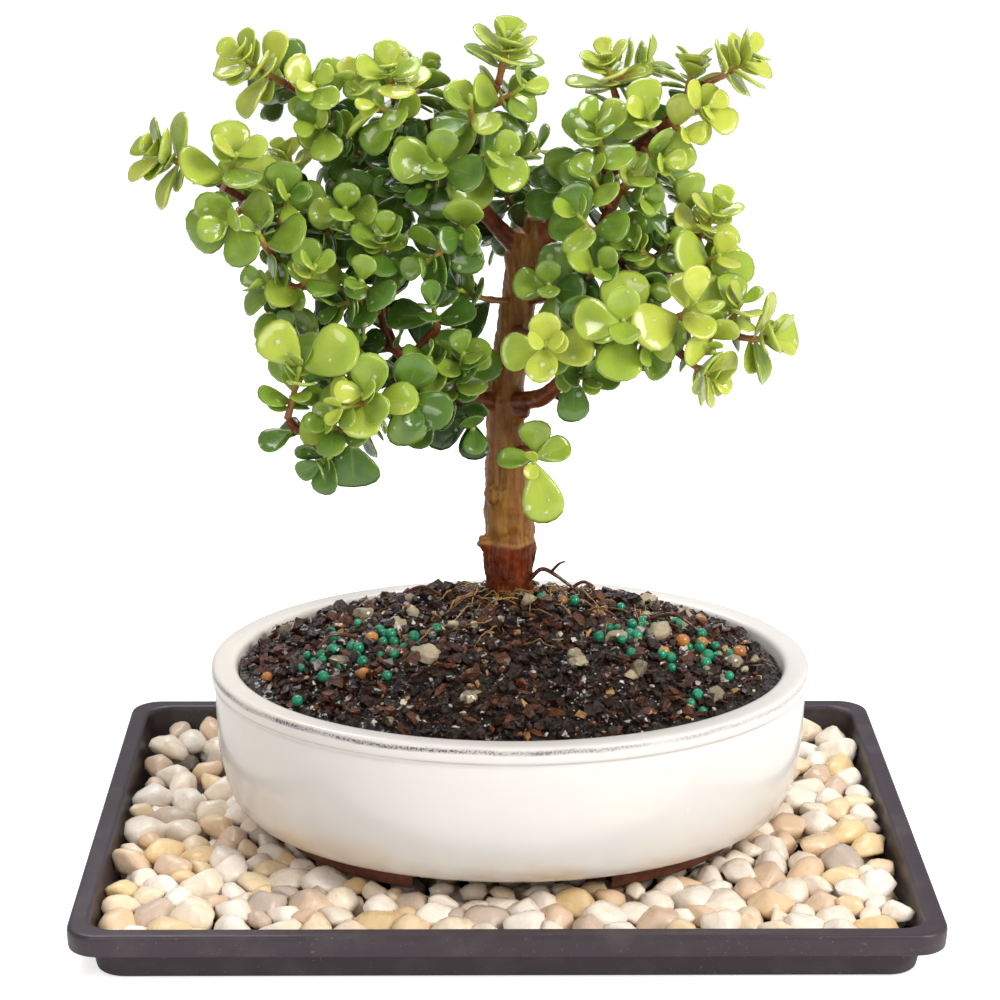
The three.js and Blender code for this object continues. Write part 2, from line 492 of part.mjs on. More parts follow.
// Closed tube round a line of points, with a radius at each
function tube(points, radii, sides) {
  const last = points.length - 1;
  let side = new THREE.Vector3(1, 0, 0);
  const rings = points.map((point, i) => {
    const along = points[Math.min(i + 1, last)].clone().sub(points[Math.max(i - 1, 0)]).normalize();
    if (i === 0 && Math.abs(along.x) > 0.9) {
      side = new THREE.Vector3(0, 0, 1);
    }
    side = side.clone().addScaledVector(along, -side.dot(along)).normalize();
    const up = along.clone().cross(side);
    return Array.from({ length: sides }, (_, j) => {
      const a = (j / sides) * 2 * Math.PI;
      return point.clone()
        .addScaledVector(side, radii[i] * Math.cos(a))
        .addScaledVector(up, radii[i] * Math.sin(a));
    });
  });
  return loft(rings);
}

const TRUNK_SIDES = 10;
const limbTube = (limb, sides, grow = 0) => tube(limb.map(vector), limb.map((p) => p[3] + grow), sides);

// A shoot's line bows upwards to its tip
const reachOf = (shoot) => vector(shoot.from).distanceTo(vector(shoot.tip));

function shootLine(shoot) {
  const middle = vector(shoot.from).lerp(vector(shoot.tip), 0.5);
  middle.z -= TWIG.sag * reachOf(shoot);
  return new THREE.QuadraticBezierCurve3(vector(shoot.from), middle, vector(shoot.tip));
}

// A limb that ends in a shoot turns its flat end to it
const endsLimb = (shoot, places) => shoot.from.every((value, k) => value === places[places.length - 1][k]);
const wood = Object.fromEntries(Object.entries(LIMBS).map(([name, places]) => {
  const shoot = SHOOTS.find((each) => endsLimb(each, places));
  if (!shoot) {
    return [name, places];
  }
  const seat = shootLine(shoot).getPoint(TWIG.seat / reachOf(shoot));
  return [name, [...places, [seat.x, seat.y, seat.z, TWIG.base]]];
}));

// Straight lengths of wood that leaves and shoots keep clear of
const rods = Object.values(wood).flatMap((limb) => limb.slice(1).map((place, i) => (
  { stem: 0, a: vector(limb[i]), b: vector(place), ra: limb[i][3], rb: place[3] })));

function nearest(rod, point) {
  const way = rod.b.clone().sub(rod.a);
  const t = THREE.MathUtils.clamp(point.clone().sub(rod.a).dot(way) / way.lengthSq(), 0, 1);
  const distance = rod.a.clone().addScaledVector(way, t).distanceTo(point);
  return { distance, radius: THREE.MathUtils.lerp(rod.ra, rod.rb, t) };
}

// Directions across a shoot: zero is level with the image plane where it can be, quarter is 90 degrees on
function crossing(shoot, t) {
  const stem = shoot.line.getTangent(t);
  const reach = vector(shoot.tip).sub(vector(shoot.from)).normalize();
  const axis = Math.abs(reach.x) > 0.85 ? new THREE.Vector3(0, 0, 1) : new THREE.Vector3(1, 0, 0);
  const zero = axis.addScaledVector(stem, -axis.dot(stem)).normalize();
  return { stem, zero, quarter: stem.clone().cross(zero) };
}

function shootRing(shoot, t, radius) {
  const { zero, quarter } = crossing(shoot, t);
  return [0, 1, 2, 3].map((corner) => {
    const a = radians(shoot.turn - 45 + 90 * corner);
    return shoot.line.getPoint(t)
      .addScaledVector(zero, radius * Math.cos(a))
      .addScaledVector(quarter, radius * Math.sin(a));
  });
}

// A side shoot starts inside the first one. Any other starts just clear of the wood that carries it
function startOf(shoot) {
  const step = 0.1 / reachOf(shoot);
  if (shoot.isSide) {
    return 0;
  }
  if (Object.values(LIMBS).some((places) => endsLimb(shoot, places))) {
    return (TWIG.seat + GAP) / reachOf(shoot) + step;
  }
  const crowded = (corner) => rods.some((rod) => {
    const hit = nearest(rod, corner);
    return hit.distance < hit.radius + GAP;
  });
  let t = 0;
  while (shootRing(shoot, t, TWIG.base).some(crowded)) {
    t += step;
  }
  return t;
}

const plans = SHOOTS.map((shoot, i) => {
  const isSide = i > 0 && SHOOTS[i - 1].stem === shoot.stem;
  const planned = { ...shoot, line: shootLine(shoot), isSide };
  return { ...planned, start: startOf(planned) };
});

// A leaf pair sits between two four-sided rings of its shoot; the first ring of all faces the wood
const rankOf = (shoot, pair) => (shoot.pairs > 1 ? pair / (shoot.pairs - 1) : 1);

function nodePlace(shoot, pair) {
  const share = THREE.MathUtils.lerp(TWIG.firstPair, TWIG.lastPair, rankOf(shoot, pair));
  return THREE.MathUtils.lerp(shoot.start, 1, share);
}

plans.forEach((shoot) => {
  const neck = TWIG.neck / 2 / reachOf(shoot);
  shoot.places = [shoot.start];
  for (let pair = 0; pair < shoot.pairs; pair += 1) {
    const place = nodePlace(shoot, pair);
    shoot.places.push(place - neck, Math.min(place + neck, 1));
  }
  shoot.radii = shoot.places.map((t) => TWIG.base + (TWIG.tip - TWIG.base) * t);
  const points = shoot.places.map((t) => shoot.line.getPoint(t));
  points.slice(1).forEach((b, i) => {
    rods.push({ stem: shoot.stem, a: points[i], b, ra: shoot.radii[i], rb: shoot.radii[i + 1] });
  });
});

// Leaf outline: share of the length, and share of the full width there
const OUTLINE = [[0, 0.12], [0.36, 0.68], [0.74, 1], [0.98, 0.44]];
const SMALL_OUTLINE = [[0, 0.12], [0.55, 0.95], [0.96, 0.5]];
const SMALL_LENGTH = 11.5;
const BELLY = 0.6;

const outlineOf = (leaf) => (leaf.length < SMALL_LENGTH ? SMALL_OUTLINE : OUTLINE);

function halfWidth(leaf, u) {
  const outline = outlineOf(leaf);
  const share = THREE.MathUtils.clamp(u / leaf.length, 0, outline[outline.length - 1][0]);
  const next = outline.findIndex(([place], i) => i > 0 && share <= place);
  const [u0, w0] = outline[next - 1];
  const [u1, w1] = outline[next];
  return (leaf.width / 2) * (w0 + (w1 - w0) * ((share - u0) / (u1 - u0)));
}

function halfThickness(leaf, u, v) {
  const share = u / leaf.length;
  const along = share < BELLY ? share / BELLY : (1 - share) / (1 - BELLY);
  return (leaf.thickness / 2) * Math.max(along, 0) * Math.max(1 - Math.abs(v) / halfWidth(leaf, u), 0);
}

const bow = (leaf, u) => -leaf.curl * leaf.length * (u / leaf.length) ** 2;

function spot(leaf, u, v, w) {
  return leaf.root.clone()
    .addScaledVector(leaf.along, u)
    .addScaledVector(leaf.across, v)
    .addScaledVector(leaf.face, bow(leaf, u) + w);
}

function makeLeaf(stem, root, along, face, length, width, curl, age) {
  const flat = face.clone().addScaledVector(along, -face.dot(along)).normalize();
  const leaf = { stem, root, along, face: flat, across: flat.clone().cross(along), length, width, curl, age };
  leaf.thickness = Math.max(LEAF.thickness * length, LEAF.least);
  leaf.samples = [];
  for (const share of [0.16, 0.32, 0.46, 0.6, 0.72, 0.84, 0.94, 1]) {
    for (const side of [-0.95, -0.5, 0, 0.5, 0.95]) {
      const u = share * length;
      const v = side * halfWidth(leaf, u);
      leaf.samples.push({ share, point: spot(leaf, u, v, 0), thick: halfThickness(leaf, u, v) });
    }
  }
  leaf.centre = spot(leaf, length / 2, 0, 0);
  return leaf;
}

// Leaves of one stem may meet near their roots, and leaves far apart need no closer look
const FAR_APART = 0.62;
const KIN_ROOT = 0.22;

function blocked(leaf, other) {
  if (leaf.centre.distanceTo(other.centre) > (leaf.length + other.length) * FAR_APART) {
    return false;
  }
  const kin = leaf.stem === other.stem;
  const clear = kin ? LEAF.kinClearance : LEAF.clearance;
  const from = kin ? KIN_ROOT : -0.1;
  return leaf.samples.some(({ share, point, thick }) => {
    const way = point.clone().sub(other.root);
    const u = way.dot(other.along);
    if (share < from || u < from * other.length || u > other.length + clear) {
      return false;
    }
    const v = way.dot(other.across);
    const w = way.dot(other.face) - bow(other, u);
    const room = halfThickness(other, u, v) + thick + clear;
    return Math.abs(v) < halfWidth(other, u) + clear && Math.abs(w) < room;
  });
}

const nearWood = (leaf) => rods.some((rod) => rod.stem !== leaf.stem
  && leaf.samples.some(({ point, thick }) => {
    const hit = nearest(rod, point);
    return hit.distance < hit.radius + thick + LEAF.clearance;
  }));

const isFree = (leaf, placed) => !nearWood(leaf)
  && !placed.some((other) => blocked(leaf, other) || blocked(other, leaf));

// Ways that a leaf gives way to its neighbours: turned, lifted, or smaller
const YIELDS = [
  [0, 0, 1], [12, 0, 1], [-12, 0, 1], [0, -14, 1], [0, 12, 0.95], [20, -8, 0.92], [-20, -8, 0.92],
  [10, -24, 0.86], [-10, -24, 0.86], [24, 8, 0.8], [-24, 8, 0.8], [0, -30, 0.72], [14, 0, 0.66],
  [-14, 0, 0.66],
];
const LIGHT = new THREE.Vector3(0, -0.5, 0.85);
const CHOSEN_CURL = 0.04;

// The trunk's bare stretch shows through the crown: shoots grow no leaf in this space before it
const BARE = { from: [-9, -30, 150], to: [7, 14, 232] };
const hidesTrunk = (leaf) => leaf.centre.toArray().every((value, k) => (
  value > BARE.from[k] && value < BARE.to[k]));

// One way that a leaf can stand at its seat: angles in degrees, throws from -1 to 1
function tryLeaf(seat, throws, [turn, lift, scale]) {
  const { shoot, pair, side, root, stem, zero, quarter } = seat;
  const rank = rankOf(shoot, pair);
  const about = radians(shoot.turn + 90 * pair + side + 12 * throws[1] + turn);
  const spread = radians(76 - 34 * rank + 8 * throws[2] + lift);
  const out = zero.clone().multiplyScalar(Math.cos(about)).addScaledVector(quarter, Math.sin(about));
  const along = stem.clone().multiplyScalar(Math.cos(spread)).addScaledVector(out, Math.sin(spread));
  const face = stem.clone().multiplyScalar(Math.sin(spread)).addScaledVector(out, -Math.cos(spread));
  face.addScaledVector(LIGHT, 0.3).applyAxisAngle(along, 0.2 * throws[3]);
  const length = LEAF.scale * shoot.leaf * (1 - 0.4 * rank * rank) * (1 + 0.1 * throws[0]) * scale;
  const width = length * (LEAF.width + 0.06 * throws[4]);
  const curl = 0.04 + 0.06 * throws[2];
  const leaf = makeLeaf(shoot.stem, root, along, face, length, width, curl, shoot.age);
  return { ...leaf, shoot, seat: `${pair}:${(pair + side / 90) % 4}` };
}

function growLeaves() {
  const roll = dice(60413);
  const placed = CHOSEN_LEAVES.map((chosen) => {
    const root = vector(chosen.root);
    const along = vector(chosen.tip).sub(root);
    const length = along.length();
    const { stem, face, width, age } = chosen;
    return makeLeaf(stem, root, along.normalize(), vector(face), length, width, CHOSEN_CURL, age);
  });
  for (const shoot of plans) {
    for (let pair = 0; pair < shoot.pairs; pair += 1) {
      const t = nodePlace(shoot, pair);
      for (const side of [0, 180]) {
        const seat = { shoot, pair, side, root: shoot.line.getPoint(t), ...crossing(shoot, t) };
        const throws = [roll(), roll(), roll(), roll(), roll()].map((value) => value * 2 - 1);
        const free = YIELDS.find((way) => {
          const leaf = tryLeaf(seat, throws, way);
          return !hidesTrunk(leaf) && isFree(leaf, placed);
        });
        if (free) {
          placed.push(tryLeaf(seat, throws, free));
        }
      }
    }
  }
  return placed;
}

// Points of a blade's rim from its root to its tip, on one side
const rimPoints = (leaf, side) => outlineOf(leaf).slice(1).map(([share, wide]) => (
  spot(leaf, share * leaf.length, side * wide * leaf.width / 2, 0)));
const bellyPoint = (leaf, side) => spot(leaf, BELLY * leaf.length, 0, side * leaf.thickness / 2);

// A chosen leaf: a plump blade whose root, as thick as the heel here, ends inside the shoot
const HEEL = { half: 0.9, rise: 0.3, drop: 0.7 };

function leafSolid(leaf) {
  const heel = (side) => spot(leaf, 0, side * HEEL.half, HEEL.rise);
  const points = [heel(1), ...rimPoints(leaf, 1), ...rimPoints(leaf, -1).reverse(), heel(-1)];
  const rim = points.length;
  points.push(spot(leaf, 0, 0, -HEEL.drop), bellyPoint(leaf, 1), bellyPoint(leaf, -1));
  const [root, top, bottom] = [rim, rim + 1, rim + 2];
  const index = [];
  for (let i = 0; i < rim; i += 1) {
    const next = (i + 1) % rim;
    index.push(top, next, i);
    if (next !== 0) {
      index.push(bottom, i, next);
    }
  }
  index.push(bottom, root, 0, bottom, rim - 1, root, root, rim - 1, 0);
  return solid(bodyOf(points, index));
}

// A shoot with its leaves in one skin: each leaf grows out of one face of the four-sided shoot
function shootSolid(shoot, leaves) {
  const points = [];
  const index = [];
  shoot.places.forEach((t, i) => points.push(...shootRing(shoot, t, shoot.radii[i])));
  const seats = new Map(leaves.filter((leaf) => leaf.shoot === shoot).map((leaf) => [leaf.seat, leaf]));
  const last = 4 * (shoot.places.length - 1);
  for (let ring = 0; ring < shoot.places.length - 1; ring += 1) {
    for (let face = 0; face < 4; face += 1) {
      const a = 4 * ring + face;
      const b = 4 * ring + ((face + 1) % 4);
      const [c, d] = [b + 4, a + 4];
      const leaf = ring % 2 === 1 ? seats.get(`${(ring - 1) / 2}:${face}`) : undefined;
      if (!leaf) {
        index.push(a, b, c, a, c, d);
        continue;
      }
      const right = rimPoints(leaf, 1).map((_, i) => points.length + i);
      points.push(...rimPoints(leaf, 1));
      const left = right.map((_, i) => points.length + i);
      points.push(...rimPoints(leaf, -1));
      const [top, bottom] = [points.length, points.length + 1];
      points.push(bellyPoint(leaf, 1), bellyPoint(leaf, -1));
      const rim = (rootRight, rootLeft) => [...right.toReversed(), rootRight, rootLeft, ...left];
      rim(c, d).forEach((here, i, all) => index.push(top, here, all[(i + 1) % all.length]));
      rim(b, a).forEach((here, i, all) => index.push(bottom, all[(i + 1) % all.length], here));
      index.push(c, right[0], b, a, left[0], d);
    }
  }
  index.push(0, 2, 1, 0, 3, 2, last, last + 1, last + 2, last, last + 2, last + 3);
  return solid(bodyOf(points, index));
}

// Wood: the trunk has most sides, then the limbs that are stout where they start
const STOUT = 3.5;

function makeTrunk() {
  const { trunk, ...branches } = wood;
  const limbs = Object.values(branches).map((limb) => solid(limbTube(limb, limb[0][3] > STOUT ? 7 : 5)));
  return join([solid(limbTube(trunk, TRUNK_SIDES)), ...limbs]);
}

// The part of the trunk that stands in the soil, a little larger and deeper. The room is measured
// at the trunk's edges, which leaves the gap at its flats
const PLACES_IN_SOIL = 5;
const ROOM = 0.33;

function makeTrunkHole() {
  const foot = LIMBS.trunk.slice(0, PLACES_IN_SOIL).map((place) => [...place]);
  foot[0][2] -= GAP;
  return solid(limbTube(foot, TRUNK_SIDES, ROOM));
}

function makeLeafyStem(number, leaves) {
  const shoots = plans.filter((shoot) => shoot.stem === number).map((shoot) => shootSolid(shoot, leaves));
  const chosen = leaves.filter((leaf) => leaf.stem === number && !leaf.shoot).map(leafSolid);
  return join([...shoots, ...chosen]);
}

const bonsai = new THREE.Group();
bonsai.add(piece('tray', makeTray(), TRAY_PLASTIC));
bonsai.add(piece('pebble_bed', makePebbleBed(), PEBBLE_STONE));
bonsai.add(piece('pot', makePot(), POT_GLAZE));
bonsai.add(piece('drain_screen_left', makeDrainScreen(-1), SCREEN_PLASTIC));
bonsai.add(piece('drain_screen_right', makeDrainScreen(1), SCREEN_PLASTIC));
bonsai.add(piece('soil', makeSoil(makeTrunkHole()), SOIL_MIX));
bonsai.add(piece('trunk', makeTrunk(), BARK));

const leaves = growLeaves();
const stemCount = SHOOTS[SHOOTS.length - 1].stem;
for (let number = 1; number <= stemCount; number += 1) {
  const name = `leafy_stem_${String(number).padStart(2, '0')}`;
  bonsai.add(piece(name, makeLeafyStem(number, leaves), JADE_LEAF));
}

export default bonsai;
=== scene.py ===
"""Dwarf jade bonsai in an oval glazed pot, which stands on pebbles in a humidity tray.

Lengths in the fields and tables below are millimetres in the part's own frame: +Z up, +X along the
tray, the front of the tree towards -Y. A finished mesh is scaled to metres once, when it is placed.
"""

import logging
import math
from collections.abc import Callable, Iterable, Iterator
from contextlib import contextmanager
from dataclasses import dataclass, field
from enum import Enum
from typing import Any

import bmesh
import bpy
import mathutils
import numpy as np
from mathutils import Matrix, Vector

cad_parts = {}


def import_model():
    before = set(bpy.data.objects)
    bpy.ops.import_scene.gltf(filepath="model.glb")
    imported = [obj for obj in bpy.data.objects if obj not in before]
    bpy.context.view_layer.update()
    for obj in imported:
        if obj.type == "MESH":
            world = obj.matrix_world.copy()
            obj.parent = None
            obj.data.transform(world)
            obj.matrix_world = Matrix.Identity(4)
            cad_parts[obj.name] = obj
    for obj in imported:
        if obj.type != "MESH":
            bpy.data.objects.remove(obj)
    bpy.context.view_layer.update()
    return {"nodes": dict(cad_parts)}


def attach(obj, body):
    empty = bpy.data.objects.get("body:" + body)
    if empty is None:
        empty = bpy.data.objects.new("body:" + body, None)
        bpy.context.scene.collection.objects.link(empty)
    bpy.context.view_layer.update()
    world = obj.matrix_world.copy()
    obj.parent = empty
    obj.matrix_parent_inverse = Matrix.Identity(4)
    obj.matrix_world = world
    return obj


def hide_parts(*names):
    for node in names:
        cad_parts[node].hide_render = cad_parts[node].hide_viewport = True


LOG = logging.getLogger("bonsai")
Thing = bpy.types.Object
Material = bpy.types.Material
Socket = bpy.types.NodeSocket
Colour = tuple[float, float, float, float]
Place = tuple[float, float, float]
Pair = tuple[float, float]
MM = 0.001
BODY = "root"


def read_rows(table: str) -> list[list[float]]:
    """Reads a table of numbers whose rows are parted by commas."""
    return [[float(word) for word in row.split()] for row in table.split(",")]


def read_limbs(table: dict[str, str]) -> dict[str, tuple[tuple[float, ...], ...]]:
    """Reads the places that limbs go through, each X, Y, Z and radius."""
    return {name: tuple(tuple(row) for row in read_rows(rows)) for name, rows in table.items()}


class Dice:
    """Seeded throws between 0 and 1, by the rule that lays out the part itself."""

    MULTIPLIER = 48271
    MODULUS = 2147483647

    def __init__(self, seed: int) -> None:
        """Starts the throws from a seed."""
        self.state = seed

    def throw(self) -> float:
        """Returns the next number between 0 and 1."""
        self.state = (self.state * self.MULTIPLIER) % self.MODULUS
        return self.state / self.MODULUS

    def swing(self, reach: float = 1.0) -> float:
        """Returns the next number between minus reach and reach."""
        return (self.throw() * 2 - 1) * reach

    def pick(self, low: float, high: float) -> float:
        """Returns the next number between low and high."""
        return low + (high - low) * self.throw()

    def choose(self, things: list[Any]) -> Any:
        """Returns one thing of a row."""
        return things[int(self.throw() * len(things))]


class Bench:
    """Modelling by operators, each on the one object that is in hand."""

    @staticmethod
    def take(*things: Thing) -> Thing:
        """Selects only these objects, makes the first one active and returns it."""
        bpy.ops.object.select_all(action="DESELECT")
        for thing in things:
            thing.select_set(True)
        bpy.context.view_layer.objects.active = things[0]
        return things[0]

    @staticmethod
    def add(primitive: Callable[..., Any], **settings: Any) -> Thing:
        """Adds an object by an operator, with nothing else selected, and returns it."""
        bpy.ops.object.select_all(action="DESELECT")
        primitive(**settings)
        return bpy.context.object

    @staticmethod
    @contextmanager
    def editing(thing: Thing) -> Iterator[None]:
        """Opens an object in edit mode with all its faces selected, and closes it again."""
        Bench.take(thing)
        bpy.ops.object.mode_set(mode="EDIT")
        bpy.ops.mesh.select_mode(type="FACE")
        bpy.ops.mesh.select_all(action="SELECT")
        yield
        bpy.ops.object.mode_set(mode="OBJECT")

    @staticmethod
    def choose(thing: Thing, kind: str, test: Callable[[Vector], bool]) -> None:
        """Selects parts of a mesh in edit mode.

        Args:
            thing: The object in edit mode.
            kind: VERT or FACE.
            test: Takes a vertex's place or a face's middle, and tells whether to select it.
        """
        bpy.ops.mesh.select_mode(type=kind)
        bpy.ops.mesh.select_all(action="DESELECT")
        shape = bmesh.from_edit_mesh(thing.data)
        for part in shape.verts if kind == "VERT" else shape.faces:
            if test(part.co if kind == "VERT" else part.calc_center_median()):
                part.select_set(True)
        shape.select_flush_mode()
        bmesh.update_edit_mesh(thing.data)

    @staticmethod
    def choose_rim() -> None:
        """Selects the open rim of the sheet in edit mode."""
        bpy.ops.mesh.select_mode(type="EDGE")
        bpy.ops.mesh.select_all(action="DESELECT")
        bpy.ops.mesh.select_non_manifold()

    @staticmethod
    def slice(*cuts: tuple[Place, Place]) -> None:
        """Divides the mesh in edit mode along planes, each given by a place and a normal."""
        for place, normal in cuts:
            bpy.ops.mesh.select_all(action="SELECT")
            bpy.ops.mesh.bisect(plane_co=place, plane_no=normal)

    @staticmethod
    def apply(thing: Thing, kind: str, **settings: Any) -> None:
        """Adds a modifier of a kind with its own settings, and applies it."""
        Bench.take(thing)
        modifier = thing.modifiers.new(kind.lower(), kind)
        for name, value in settings.items():
            setattr(modifier, name, value)
        bpy.ops.object.modifier_apply(modifier=modifier.name)

    @staticmethod
    def freeze(thing: Thing, scale: Place = (1, 1, 1)) -> Thing:
        """Scales an object, puts its place, turn and scale into its mesh, and returns it."""
        thing.scale = scale
        Bench.take(thing)
        bpy.ops.object.transform_apply(location=True, rotation=True, scale=True)
        return thing

    @staticmethod
    def face_outwards(thing: Thing) -> None:
        """Merges doubles and turns all faces outwards."""
        with Bench.editing(thing):
            bpy.ops.mesh.remove_doubles(threshold=0.001)
            bpy.ops.mesh.normals_make_consistent(inside=False)

    @staticmethod
    def dress(thing: Thing, material: Material, degrees: float = 180.0) -> None:
        """Gives an object a material and shades it smooth across edges below an angle."""
        Bench.take(thing)
        if degrees < 180:
            bpy.ops.object.shade_smooth_by_angle(angle=math.radians(degrees))
        else:
            bpy.ops.object.shade_smooth()
        thing.data.materials.clear()
        thing.data.materials.append(material)

    @staticmethod
    def mark(thing: Thing, name: str, values: Iterable[float]) -> None:
        """Lets each vertex of a mesh carry a value."""
        thing.data.attributes.new(name, "FLOAT", "POINT").data.foreach_set("value", values)

    @staticmethod
    def cut(thing: Thing, cutter: Thing) -> None:
        """Takes one solid out of another and removes the cutter."""
        Bench.apply(thing, "BOOLEAN", operation="DIFFERENCE", solver="EXACT", object=cutter)
        bpy.data.objects.remove(cutter)


@dataclass(frozen=True)
class Outline:
    """A closed outline seen from above, which a profile draws in by insets.

    Without a corner radius it is an oval. Points are those round an oval, or the steps round one corner.
    """

    centre: Pair
    length: float
    width: float
    corner: float | None
    points: int

    def sheet(self, inset: float, height: float) -> Thing:
        """Adds the outline as one flat face, drawn in by an inset, at a height."""
        where = (*self.centre, height)
        if self.corner is None:
            thing = Bench.add(bpy.ops.mesh.primitive_circle_add, vertices=self.points, radius=1,
                              fill_type="NGON", location=where)
        else:
            thing = Bench.add(bpy.ops.mesh.primitive_plane_add, size=2, location=where)
        Bench.freeze(thing, (self.length / 2 - inset, self.width / 2 - inset, 1))
        if self.corner is not None:
            with Bench.editing(thing):
                bpy.ops.mesh.bevel(offset=self.corner, segments=self.points, affect="VERTICES")
        return thing

    def extrude(self, steps: list[Pair]) -> None:
        """Extrudes what is selected in edit mode.

        Args:
            steps: Insets and heights, the first where the selection is.
        """
        for (inset, height), (next_inset, next_height) in zip(steps, steps[1:]):
            bpy.ops.mesh.extrude_region_move(
                TRANSFORM_OT_translate={"value": (0, 0, next_height - height)})
            grow = [(size / 2 - next_inset) / (size / 2 - inset) for size in (self.length, self.width)]
            bpy.ops.transform.resize(value=(*grow, 1), center_override=(*self.centre, next_height))

    def solid(self, steps: list[Pair]) -> Thing:
        """Makes a closed solid of this outline.

        Args:
            steps: Insets and heights from the middle of the underside to the inside or top.

        Returns:
            The solid, with its faces outwards.
        """
        thing = self.sheet(*steps[0])
        with Bench.editing(thing):
            self.extrude(steps)
        Bench.face_outwards(thing)
        return thing


def curve(start: Pair, bend: Pair, end: Pair, steps: int) -> list[Pair]:
    """Gives the places along a bent stretch of a profile.

    Args:
        start: Inset and height where it starts. It isn't repeated in the result.
        bend: Where its two tangents meet.
        end: Where it ends.
        steps: How many places it gives.

    Returns:
        The places, the last of them the end.
    """
    places = []
    for step in range(1, steps + 1):
        t = step / steps
        ends = [(1 - t) ** 2 * start[k] + t * t * end[k] for k in (0, 1)]
        places.append((ends[0] + 2 * t * (1 - t) * bend[0], ends[1] + 2 * t * (1 - t) * bend[1]))
    return places


@dataclass
class Template:
    """A small shape that is modelled once and copied many times, with a value for each vertex by name."""

    points: np.ndarray
    faces: list[tuple[int, ...]]
    uv: np.ndarray
    marks: dict[str, np.ndarray] = field(default_factory=dict)

    @classmethod
    def of(cls, thing: Thing, flat_uv: bool = False) -> "Template":
        """Reads a modelled object and removes it.

        Args:
            thing: The object.
            flat_uv: Whether its UV map is its X and Y.

        Returns:
            The template.
        """
        mesh = thing.data
        points = np.array([vertex.co[:] for vertex in mesh.vertices], float)
        faces = [tuple(face.vertices) for face in mesh.polygons]
        corners = [index for face in faces for index in face]
        uv = points[corners, :2] if flat_uv else np.zeros((len(corners), 2))
        bpy.data.objects.remove(thing)
        return cls(points, faces, uv)


class Copies:
    """Copies of templates, bent, placed and gathered into the mesh of one piece."""

    def __init__(self) -> None:
        """Starts an empty piece."""
        self.points: list[np.ndarray] = []
        self.faces: list[tuple[int, ...]] = []
        self.uv: list[np.ndarray] = []
        self.slots: list[int] = []
        self.marks: dict[str, list[np.ndarray]] = {}
        self.count = 0

    def add(self, template: Template, points: np.ndarray, slot: int = 0, **marks: float | np.ndarray) -> None:
        """Adds one copy.

        Args:
            template: The shape.
            points: Where this copy's vertices are.
            slot: Which of the piece's materials it wears.
            marks: Values that the copy's vertices carry, beside the template's own.
        """
        size = len(points)
        self.points.append(points)
        self.faces += [tuple(index + self.count for index in face) for face in template.faces]
        self.uv.append(template.uv)
        self.slots += [slot] * len(template.faces)
        carried = {**template.marks, **marks}
        for name in set(carried) | set(self.marks):
            rows = self.marks.setdefault(name, [np.zeros(self.count)] if self.count else [])
            rows.append(np.broadcast_to(np.asarray(carried.get(name, 0.0), float), (size,)))
        self.count += size

    def make(self, materials: Iterable[Material]) -> Thing:
        """Makes the piece, in millimetres, with the materials that its slots wear."""
        mesh = bpy.data.meshes.new("copies")
        mesh.from_pydata(np.concatenate(self.points).tolist(), [], self.faces)
        layer = mesh.uv_layers.new(name="pattern")
        layer.data.foreach_set("uv", np.concatenate(self.uv).ravel())
        for name, rows in self.marks.items():
            mark = mesh.attributes.new(name, "FLOAT", "POINT")
            mark.data.foreach_set("value", np.concatenate(rows))
        for material in materials:
            mesh.materials.append(material)
        mesh.polygons.foreach_set("material_index", self.slots)
        mesh.polygons.foreach_set("use_smooth", [True] * len(self.faces))
        mesh.update()
        thing = bpy.data.objects.new("copies", mesh)
        bpy.context.scene.collection.objects.link(thing)
        return thing


def hand_over(thing: Thing, name: str, nodes: Iterable[str] = ()) -> Thing:
    """Brings a finished piece to metres and tells the frame what it is.

    Args:
        thing: The piece, modelled in millimetres.
        name: Its name.
        nodes: The CAD nodes that it stands for.

    Returns:
        The same piece.
    """
    Bench.freeze(thing)
    thing.data.transform(Matrix.Scale(MM, 4))
    thing.name = name
    thing.data.name = name
    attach(thing, BODY)
    nodes = list(nodes)
    if nodes:
        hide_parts(*nodes)
    LOG.info("%s: %d faces", name, len(thing.data.polygons))
    return thing


# Materials
def ink(code: str) -> Colour:
    """Turns a six-digit screen colour into the linear colour that shaders take."""
    parts = [int(code[k:k + 2], 16) / 255 for k in (0, 2, 4)]
    linear = [part / 12.92 if part <= 0.04045 else ((part + 0.055) / 1.055) ** 2.4 for part in parts]
    return (linear[0], linear[1], linear[2], 1.0)


